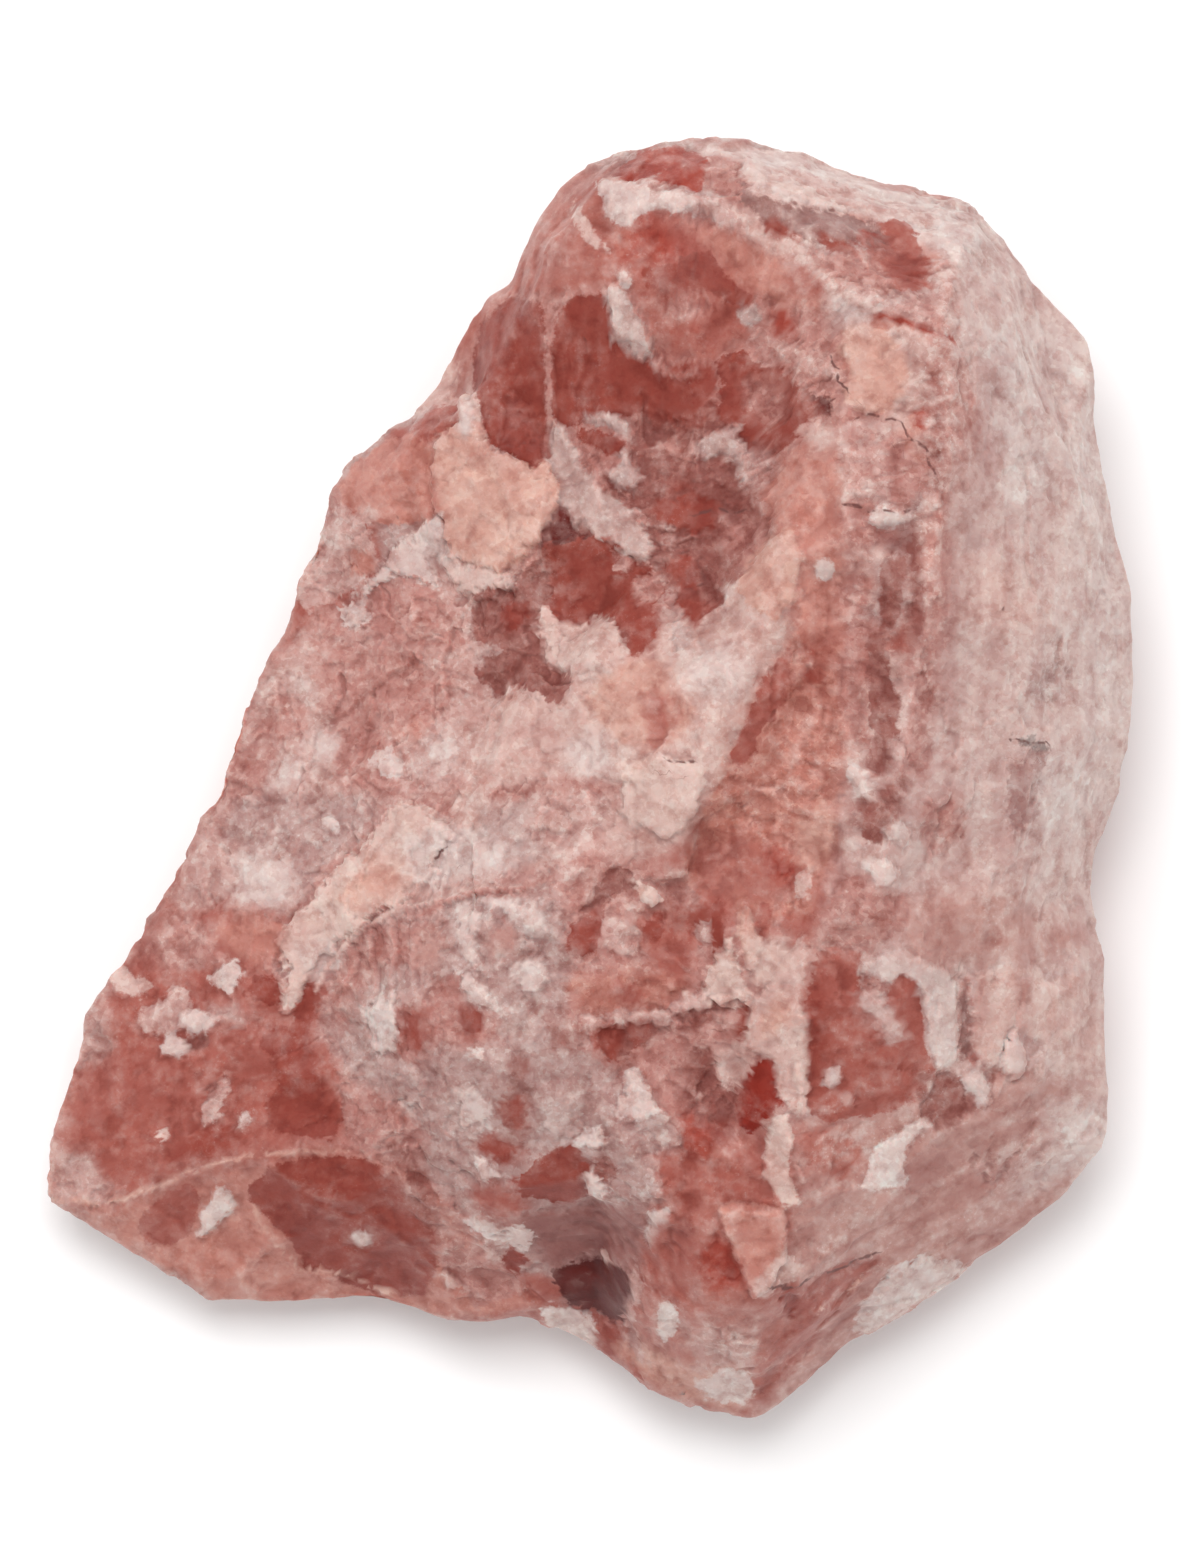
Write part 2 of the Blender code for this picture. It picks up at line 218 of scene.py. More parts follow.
SOUTH_WEST_RIDGE = [
    (-30.9, -26.3, 8.5), (-27.1, -25.4, 10.5), (-22.1, -23.5, 13.5), (-17.1, -22.6, 15.5),
    (-12.1, -23.5, 17), (-8.4, -25.7, 17),
]
SOUTH_WEST_FACE = [
    (-24.6, -28.5, 8.5), (-18.4, -27.9, 10.5), (-12.1, -28.5, 11.5), (-7.8, -30.4, 11),
]
CAGE = np.array(
    RIM_NORTH + RIM_EAST + RIM_SOUTH + RIM_WEST + FOOTPRINT + CROWN_RIDGE + NORTH_WEST_SHOULDER
    + NORTH_EAST_FACE + EAST_FACE + SOUTH_EAST_SHOULDER + SOUTH_EAST_FACE + FOOT + NOTCH + BOULDER
    + GULLY + PALE_SPUR + ORANGE_VALLEY + GROOVE + CENTRAL_RIDGE + HOLLOW + PEACH_LEDGE
    + UNDER_LEDGE + WEST_SLOPE + SOUTH_WEST + SOUTH_WEST_RIDGE + SOUTH_WEST_FACE,
    dtype=float,
)


@dataclass(frozen=True)
class Finish:
    """How one kind of break in the stone looks.

    Attributes:
        colour: its colour as seen, red, green and blue up to 255.
        frost: share of crushed white crystal on it, from 0 to 1.
        grain: strength of its fine chipping, from 0 for a smooth cleavage face to 1.
        roughness: the shader's roughness.
    """

    colour: tuple
    frost: float = 0.3
    grain: float = 0.7
    roughness: float = 0.5


class Tone(Enum):
    """The stone's kinds of break, from deep translucent red to crushed white."""

    # deep wine red, also laid as painted shadow under the peach ledge and in the notch
    WINE = Finish((100, 30, 25), 0.04, 0.2, 0.38)
    RUBY = Finish((146, 46, 34), 0.0, 0.3, 0.3)
    DEEP = Finish((150, 69, 58), 0.08, 0.32, 0.4)
    CAP = Finish((164, 70, 57), 0.12, 0.5, 0.42)
    BRICK = Finish((170, 94, 83), 0.15, 0.38, 0.42)
    SALMON = Finish((196, 131, 118), 0.2, 0.4, 0.42)
    PEACH = Finish((210, 160, 146), 0.22, 0.45, 0.5)
    ROSE = Finish((191, 134, 125), 0.28, 0.85, 0.48)
    # partly painted shade: a deep pink, darkened for the shade of the hollow under the crown
    BLUSH = Finish((178, 108, 97), 0.2, 0.4, 0.42)
    PINK = Finish((202, 158, 150), 0.4, 0.8, 0.5)
    LILAC = Finish((182, 142, 136), 0.45, 0.8, 0.5)
    MAUVE = Finish((156, 95, 87), 0.15, 0.85, 0.45)
    # partly painted shade: dusky red for the boulder's shaded south side
    DUSK = Finish((150, 93, 87), 0.05, 0.3, 0.45)
    SMOKE = Finish((190, 140, 131), 0.25, 0.35, 0.48)
    CORAL = Finish((195, 128, 114), 0.3, 0.85, 0.45)
    HEATHER = Finish((156, 111, 105), 0.25, 0.5, 0.48)
    DUSKGREY = Finish((140, 116, 112), 0.05, 0.4, 0.5)
    SHELL = Finish((210, 172, 163), 0.4, 0.5, 0.55)
    # partly painted light: the pale crust of the steep east face, lightened so that the face looks
    # lit
    EAST = Finish((206, 171, 164), 0.38, 0.5, 0.5)
    ASH = Finish((192, 160, 154), 0.5, 0.6, 0.55)
    SLATE = Finish((194, 160, 153), 0.5, 0.5, 0.55)
    PALE = Finish((220, 198, 192), 0.7, 0.5, 0.55)
    CREAM = Finish((217, 184, 174), 0.4, 0.4, 0.5)
    FROST = Finish((214, 189, 183), 0.7, 0.42, 0.6)


@dataclass(frozen=True)
class Patch:
    """A stretch of the top with its own finish.

    Attributes:
        tone: its finish.
        softness: width of its edge, in millimetres.
        raggedness: how torn its edge is.
        outline: its corners on the map, X then Y of each.
        rise: how far it stands proud, in millimetres.
    """

    tone: Tone
    softness: float
    raggedness: float
    outline: tuple
    rise: float = 0.0


@dataclass(frozen=True)
class Seam:
    """A thin crack or a thin pale vein.

    Attributes:
        tone: its finish.
        width: its width, in millimetres.
        rise: its height, in millimetres, below zero for a crack.
        path: its points on the map, X then Y of each.
    """

    tone: Tone
    width: float
    rise: float
    path: tuple


# The broad fields that the others lie on.
BROAD_PATCHES = (
    # partly painted shade: the blush of the hollow under the crown
    Patch(Tone.BLUSH, 0.6, 1.0, (545, 175, 590, 165, 640, 190, 660, 230, 640, 290, 500, 300,
        470, 380, 455, 400, 480, 300, 510, 262)),
    Patch(Tone.ROSE, 0.8, 1.0, (640, 190, 745, 212, 835, 300, 850, 420, 800, 470, 780, 560,
        700, 600, 560, 540, 550, 430, 478, 380, 500, 298, 640, 290)),
    Patch(Tone.SHELL, 0.8, 1.0, (540, 612, 600, 614, 640, 650, 690, 600, 760, 540, 798, 560,
        795, 640, 765, 680, 730, 740, 690, 840, 640, 855, 590, 845, 440, 890, 470, 780, 450, 700,
        500, 690, 575, 690, 572, 655)),
    Patch(Tone.PINK, 1.0, 1.0, (450, 515, 380, 590, 315, 620, 250, 690, 222, 780, 190, 850,
        240, 900, 300, 900, 400, 800, 470, 780, 500, 700, 480, 640, 470, 590, 445, 560)),
    Patch(Tone.BRICK, 0.8, 1.0, (55, 1195, 75, 1090, 100, 1000, 190, 860, 240, 905, 290, 1000,
        340, 1050, 352, 1130, 230, 1155, 150, 1190)),
    Patch(Tone.SALMON, 0.6, 1.0, (50, 1200, 150, 1190, 230, 1157, 330, 1145, 420, 1160,
        480, 1250, 540, 1300, 470, 1312, 230, 1303)),
    Patch(Tone.LILAC, 0.8, 1.0, (330, 990, 350, 950, 380, 920, 420, 900, 470, 882, 570, 880,
        580, 960, 575, 1020, 650, 1080, 700, 1140, 670, 1190, 640, 1270, 560, 1270, 500, 1240,
        440, 1180, 380, 1140, 350, 1100, 325, 1030)),
    Patch(Tone.ROSE, 0.8, 1.0, (560, 870, 600, 850, 690, 860, 740, 900, 800, 930, 770, 1000,
        700, 1100, 680, 1140, 610, 1050, 575, 1020, 580, 960)),
    Patch(Tone.CORAL, 0.5, 1.0, (790, 640, 845, 600, 852, 760, 812, 905, 760, 908, 715, 900,
        690, 870, 712, 800, 765, 680)),
    Patch(Tone.BLUSH, 0.8, 1.0, (650, 1200, 700, 1140, 760, 1130, 810, 1110, 800, 1200,
        800, 1330, 755, 1410, 640, 1370, 620, 1330, 640, 1260)),
    Patch(Tone.SMOKE, 0.8, 1.0, (800, 1110, 900, 1088, 1000, 1080, 1130, 1060, 1130, 1160,
        960, 1300, 760, 1430, 790, 1350, 800, 1290, 785, 1270, 800, 1200)),
    Patch(Tone.EAST, 1.2, 1.0, (935, 280, 1000, 220, 1200, 300, 1200, 1060, 1110, 1075,
        1000, 1080, 812, 1105, 812, 960, 830, 900, 850, 760, 925, 640, 930, 520, 948, 400)),
    Patch(Tone.PALE, 0.8, 1.0, (700, 140, 790, 150, 1010, 230, 960, 262, 860, 212, 800, 200,
        750, 196)),
)

# The crown, the hollow under it and the ledge beside it.
NORTH_PATCHES = (
    Patch(Tone.BRICK, 0.6, 1.0, (640, 214, 672, 212, 702, 232, 764, 292, 752, 330, 720, 352,
        672, 350, 650, 320, 638, 280, 625, 262, 635, 240)),
    Patch(Tone.CAP, 0.3, 1.0, (612, 176, 650, 148, 680, 143, 705, 150, 716, 165, 710, 180,
        700, 190, 685, 188, 670, 180)),
    Patch(Tone.FROST, 0.3, 1.2, (598, 180, 625, 180, 715, 198, 738, 206, 745, 214, 732, 222,
        665, 208, 645, 215, 632, 225, 618, 218), 0.25),
    Patch(Tone.SHELL, 0.4, 1.0, (574, 195, 582, 200, 612, 255, 588, 235, 578, 215), 0.1),
    Patch(Tone.SALMON, 0.5, 1.0, (690, 225, 740, 225, 790, 243, 840, 300, 825, 310, 778, 302,
        742, 283)),
    Patch(Tone.CAP, 0.5, 1.4, (643, 222, 658, 215, 668, 232, 690, 240, 700, 255, 690, 262,
        672, 262, 655, 255, 645, 245, 625, 262, 622, 250)),
    Patch(Tone.DEEP, 0.4, 1.4, (655, 265, 680, 262, 700, 250, 715, 255, 725, 270, 757, 300,
        745, 308, 712, 292, 700, 292, 682, 302, 665, 296)),
    Patch(Tone.ASH, 0.3, 0.6, (738, 310, 749, 305, 761, 308, 763, 320, 751, 326, 740, 320), 0.25),
    Patch(Tone.BRICK, 0.5, 1.3, (690, 318, 712, 312, 748, 335, 738, 350, 715, 352, 700, 345)),
    Patch(Tone.CAP, 0.5, 1.2, (770, 312, 790, 308, 800, 322, 792, 336, 775, 334)),
    Patch(Tone.ROSE, 0.5, 1.3, (660, 305, 700, 296, 712, 305, 700, 318, 682, 322, 668, 318)),
    # partly painted shade: deep red on the two south-facing risers above the peach ledge, darkened
    # for their shade
    Patch(Tone.DEEP, 0.2, 0.5, (500, 302, 520, 294, 545, 300, 550, 330, 551, 430, 547, 456,
        535, 463, 495, 440, 485, 422, 485, 400, 478, 380, 478, 350, 485, 322)),
    Patch(Tone.DEEP, 0.2, 0.5, (560, 312, 580, 293, 605, 290, 615, 300, 619, 340, 668, 372,
        662, 395, 640, 412, 590, 416, 562, 432, 556, 400, 555, 350)),
    Patch(Tone.ASH, 0.15, 1.0, (610, 288, 625, 287, 659, 356, 645, 358, 617, 336), 0.5),
    Patch(Tone.FROST, 0.2, 0.8, (624, 272, 633, 271, 637, 286, 629, 290), 0.3),
    Patch(Tone.ASH, 0.2, 1.0, (654, 363, 672, 371, 698, 368, 704, 376, 686, 381, 665, 376), 0.3),
    Patch(Tone.DEEP, 0.3, 1.2, (720, 357, 745, 352, 790, 372, 800, 385, 825, 395, 834, 411,
        825, 418, 808, 418, 785, 452, 770, 460, 755, 456, 742, 425, 725, 417, 722, 400, 728, 385)),
    Patch(Tone.WINE, 0.3, 1.0, (816, 390, 836, 398, 834, 416, 822, 414)),
    Patch(Tone.ROSE, 0.2, 1.0, (770, 347, 812, 345, 825, 352, 843, 372, 846, 389, 838, 391,
        828, 379, 815, 373, 800, 373, 795, 362), 0.4),
    Patch(Tone.PEACH, 0.3, 1.0, (835, 345, 850, 331, 870, 325, 888, 331, 902, 346, 909, 362,
        900, 402, 885, 413, 860, 413, 848, 402, 846, 386, 851, 371), 0.3),
    Patch(Tone.SHELL, 0.3, 1.0, (890, 331, 905, 325, 925, 335, 941, 350, 951, 395, 940, 403,
        906, 413, 899, 402, 909, 361), 0.3),
    Patch(Tone.CAP, 0.4, 0.8, (914, 412, 928, 402, 943, 405, 949, 418, 941, 431, 925, 433,
        915, 425)),
    Patch(Tone.PINK, 0.3, 0.6, (842, 426, 860, 418, 886, 420, 890, 498, 850, 496, 842, 470), 0.2),
    Patch(Tone.ROSE, 0.4, 0.8, (852, 430, 858, 430, 860, 488, 853, 488)),
    Patch(Tone.ROSE, 0.4, 0.8, (870, 428, 876, 428, 877, 480, 870, 480)),
    Patch(Tone.ROSE, 0.3, 1.0, (888, 426, 926, 468, 922, 485, 905, 507, 888, 499)),
    Patch(Tone.FROST, 0.3, 1.2, (868, 513, 880, 503, 905, 513, 916, 505, 936, 477, 946, 490,
        938, 506, 905, 523, 872, 521), 0.3),
    Patch(Tone.ROSE, 0.5, 1.0, (716, 150, 745, 156, 760, 200, 745, 214, 722, 200, 712, 175)),
    Patch(Tone.PINK, 0.5, 0.9, (770, 168, 800, 166, 846, 188, 904, 200, 940, 216, 930, 226,
        775, 177)),
    Patch(Tone.SHELL, 0.5, 0.9, (745, 160, 760, 162, 772, 176, 850, 200, 866, 211, 846, 217,
        768, 193, 750, 176), 0.15),
    Patch(Tone.HEATHER, 0.3, 1.0, (740, 176, 752, 190, 770, 198, 876, 222, 884, 234, 906, 238,
        922, 248, 928, 262, 912, 262, 892, 250, 838, 234, 818, 244, 798, 236, 768, 240, 764, 214,
        748, 204)),
    Patch(Tone.ROSE, 0.4, 1.0, (798, 238, 830, 254, 862, 252, 882, 264, 898, 284, 886, 294,
        850, 290, 814, 262)),
    Patch(Tone.DEEP, 0.2, 0.6, (766, 217, 775, 215, 800, 237, 790, 241, 776, 239, 765, 230)),
    Patch(Tone.DEEP, 0.2, 0.8, (818, 227, 836, 238, 850, 236, 859, 240, 859, 253, 845, 255,
        822, 240)),
    Patch(Tone.CAP, 0.2, 0.8, (858, 229, 872, 227, 881, 238, 864, 240)),
    Patch(Tone.BRICK, 0.3, 0.9, (882, 222, 900, 217, 916, 224, 924, 256, 935, 263, 930, 275,
        937, 287, 902, 289, 862, 250, 870, 242, 888, 244)),
    Patch(Tone.DEEP, 0.5, 0.9, (892, 258, 905, 250, 916, 262, 928, 262, 928, 284, 905, 286,
        894, 272)),
    Patch(Tone.PINK, 0.5, 1.0, (700, 196, 746, 212, 768, 238, 784, 242, 833, 280, 899, 300,
        888, 309, 862, 309, 840, 301, 804, 270, 742, 230, 702, 214), 0.2),
    Patch(Tone.PINK, 0.5, 1.4, (880, 311, 930, 292, 960, 300, 970, 330, 950, 340, 905, 320,
        890, 322)),
    Patch(Tone.BRICK, 0.4, 1.2, (915, 312, 935, 318, 955, 332, 950, 338)),
    Patch(Tone.PINK, 0.3, 1.3, (935, 263, 950, 260, 960, 275, 952, 300, 938, 291), 0.2),
    Patch(Tone.ASH, 0.2, 0.9, (590, 415, 605, 408, 620, 410, 633, 420, 637, 436), 0.35),
    Patch(Tone.DEEP, 0.2, 0.6, (578, 425, 600, 424, 628, 436, 633, 448, 615, 452, 585, 440)),
    Patch(Tone.MAUVE, 0.3, 1.0, (606, 466, 620, 470, 626, 482, 612, 484)),
    Patch(Tone.SLATE, 0.2, 1.0, (555, 425, 570, 430, 600, 480, 640, 515, 656, 545, 645, 559,
        625, 550, 588, 523, 579, 526, 572, 508, 561, 500, 552, 455), 0.35),
    Patch(Tone.SLATE, 0.3, 1.0, (660, 530, 680, 529, 676, 546, 660, 549), 0.2),
    Patch(Tone.MAUVE, 0.3, 1.4, (640, 402, 700, 382, 735, 422, 758, 462, 800, 472, 800, 500,
        790, 530, 750, 566, 720, 606, 680, 596, 650, 560, 655, 540, 640, 508, 612, 482, 638, 460)),
    Patch(Tone.ROSE, 0.5, 1.4, (660, 435, 680, 430, 705, 440, 700, 452, 660, 451)),
    Patch(Tone.ASH, 0.2, 1.2, (712, 432, 728, 425, 741, 425, 743, 440, 759, 470, 752, 483,
        742, 476, 735, 459, 722, 451, 708, 456, 702, 445), 0.4),
    Patch(Tone.DEEP, 0.4, 1.3, (650, 505, 680, 495, 720, 500, 716, 522, 690, 532, 660, 522)),
    Patch(Tone.DEEP, 0.6, 1.3, (655, 378, 700, 385, 706, 410, 690, 425, 660, 420, 645, 405)),
    Patch(Tone.DEEP, 0.6, 1.0, (675, 478, 690, 475, 693, 489, 680, 491)),
    Patch(Tone.DEEP, 0.35, 1.0, (672, 560, 690, 550, 706, 560, 700, 591, 685, 591, 675, 576)),
    Patch(Tone.SALMON, 0.5, 1.3, (765, 488, 790, 456, 810, 441, 841, 441, 853, 540, 850, 600,
        840, 640, 802, 650, 797, 600, 801, 570)),
    Patch(Tone.SHELL, 0.5, 1.3, (806, 428, 830, 420, 842, 430, 836, 450, 815, 455)),
    Patch(Tone.FROST, 0.2, 0.4, (815, 562, 822, 555, 833, 558, 836, 570, 829, 579, 819, 577), 0.25),
    Patch(Tone.FROST, 0.2, 0.4, (727, 584, 733, 580, 739, 586, 737, 594, 729, 594), 0.2),
    Patch(Tone.PEACH, 0.2, 1.0, (437, 440, 460, 420, 469, 395, 478, 400, 483, 425, 495, 445,
        540, 464, 552, 457, 566, 501, 555, 512, 550, 530, 520, 562, 500, 570, 455, 555,
        435, 480), 0.6),
    Patch(Tone.SHELL, 0.2, 1.0, (448, 540, 470, 560, 500, 568, 520, 562, 523, 571, 511, 586,
        480, 601, 445, 560), 0.5),
    Patch(Tone.FROST, 0.4, 0.8, (466, 398, 477, 396, 482, 420, 470, 430, 460, 420)),
    # painted shadow under the peach ledge's edge
    Patch(Tone.WINE, 0.5, 1.2, (562, 504, 570, 500, 592, 530, 612, 546, 602, 554, 580, 542,
        562, 546, 553, 556, 546, 544)),
    # partly painted shade: the deep red scarp under the peach ledge, which faces south
    Patch(Tone.DEEP, 0.3, 1.4, (545, 547, 600, 530, 612, 535, 621, 550, 615, 565, 626, 573,
        640, 561, 660, 570, 666, 590, 656, 611, 659, 626, 650, 646, 635, 649, 615, 616, 600, 612,
        585, 621, 578, 631, 565, 626, 560, 601, 548, 576)),
    Patch(Tone.ROSE, 0.4, 1.2, (638, 572, 658, 568, 664, 585, 652, 606, 640, 600)),
    Patch(Tone.MAUVE, 0.25, 1.5, (530, 560, 545, 549, 549, 576, 532, 641, 520, 651, 500, 641,
        480, 641, 472, 626, 485, 606, 515, 591)),
    Patch(Tone.MAUVE, 0.25, 1.4, (500, 651, 560, 650, 573, 659, 572, 686, 562, 701, 545, 691,
        525, 686, 515, 676, 505, 681, 490, 666)),
    Patch(Tone.ASH, 0.2, 1.3, (628, 448, 637, 450, 639, 470, 646, 479, 642, 491, 632, 489,
        611, 470, 625, 465), 0.35),
    Patch(Tone.ASH, 0.3, 1.3, (672, 628, 684, 606, 697, 600, 690, 620, 700, 640, 684, 646), 0.2),
    Patch(Tone.DEEP, 0.3, 0.9, (646, 268, 664, 262, 682, 270, 684, 290, 664, 296, 650, 288)),
    Patch(Tone.DEEP, 0.6, 1.4, (664, 350, 690, 356, 716, 352, 722, 390, 704, 420, 676, 410,
        660, 385)),
    Patch(Tone.BRICK, 0.6, 1.2, (786, 276, 806, 268, 824, 278, 832, 296, 812, 302, 792, 296)),
    Patch(Tone.DEEP, 0.5, 1.4, (640, 604, 658, 600, 668, 622, 656, 648, 642, 640)),
    Patch(Tone.DEEP, 0.5, 1.4, (680, 592, 704, 594, 716, 604, 700, 620, 684, 612)),
    Patch(Tone.PALE, 0.6, 1.3, (826, 300, 850, 296, 874, 306, 868, 326, 840, 330)),
    Patch(Tone.ROSE, 0.8, 1.5, (746, 384, 776, 376, 792, 400, 776, 422, 752, 414)),
    Patch(Tone.PINK, 0.7, 1.5, (744, 446, 772, 444, 780, 466, 760, 480, 746, 470)),
    Patch(Tone.ROSE, 0.8, 1.5, (726, 520, 758, 516, 772, 540, 752, 564, 730, 552)),
    Patch(Tone.FROST, 0.5, 1.4, (426, 532, 446, 530, 450, 560, 436, 578, 424, 560)),
    Patch(Tone.ROSE, 0.9, 1.2, (924, 296, 956, 302, 964, 420, 942, 604, 916, 604, 932, 400)),
    Patch(Tone.MAUVE, 0.6, 1.4, (922, 360, 944, 350, 950, 440, 942, 500, 926, 480, 930, 420)),
    Patch(Tone.MAUVE, 0.3, 1.3, (477, 592, 500, 584, 536, 584, 548, 560, 562, 590, 548, 604,
        540, 634, 566, 655, 566, 690, 530, 680, 498, 692, 484, 668, 504, 644, 478, 624), -0.1),
    Patch(Tone.SHELL, 0.3, 1.3, (540, 606, 560, 612, 584, 628, 576, 650, 556, 648, 540, 632), 0.15),
    Patch(Tone.DEEP, 0.3, 1.3, (508, 598, 534, 594, 530, 622, 512, 630), -0.1),
)

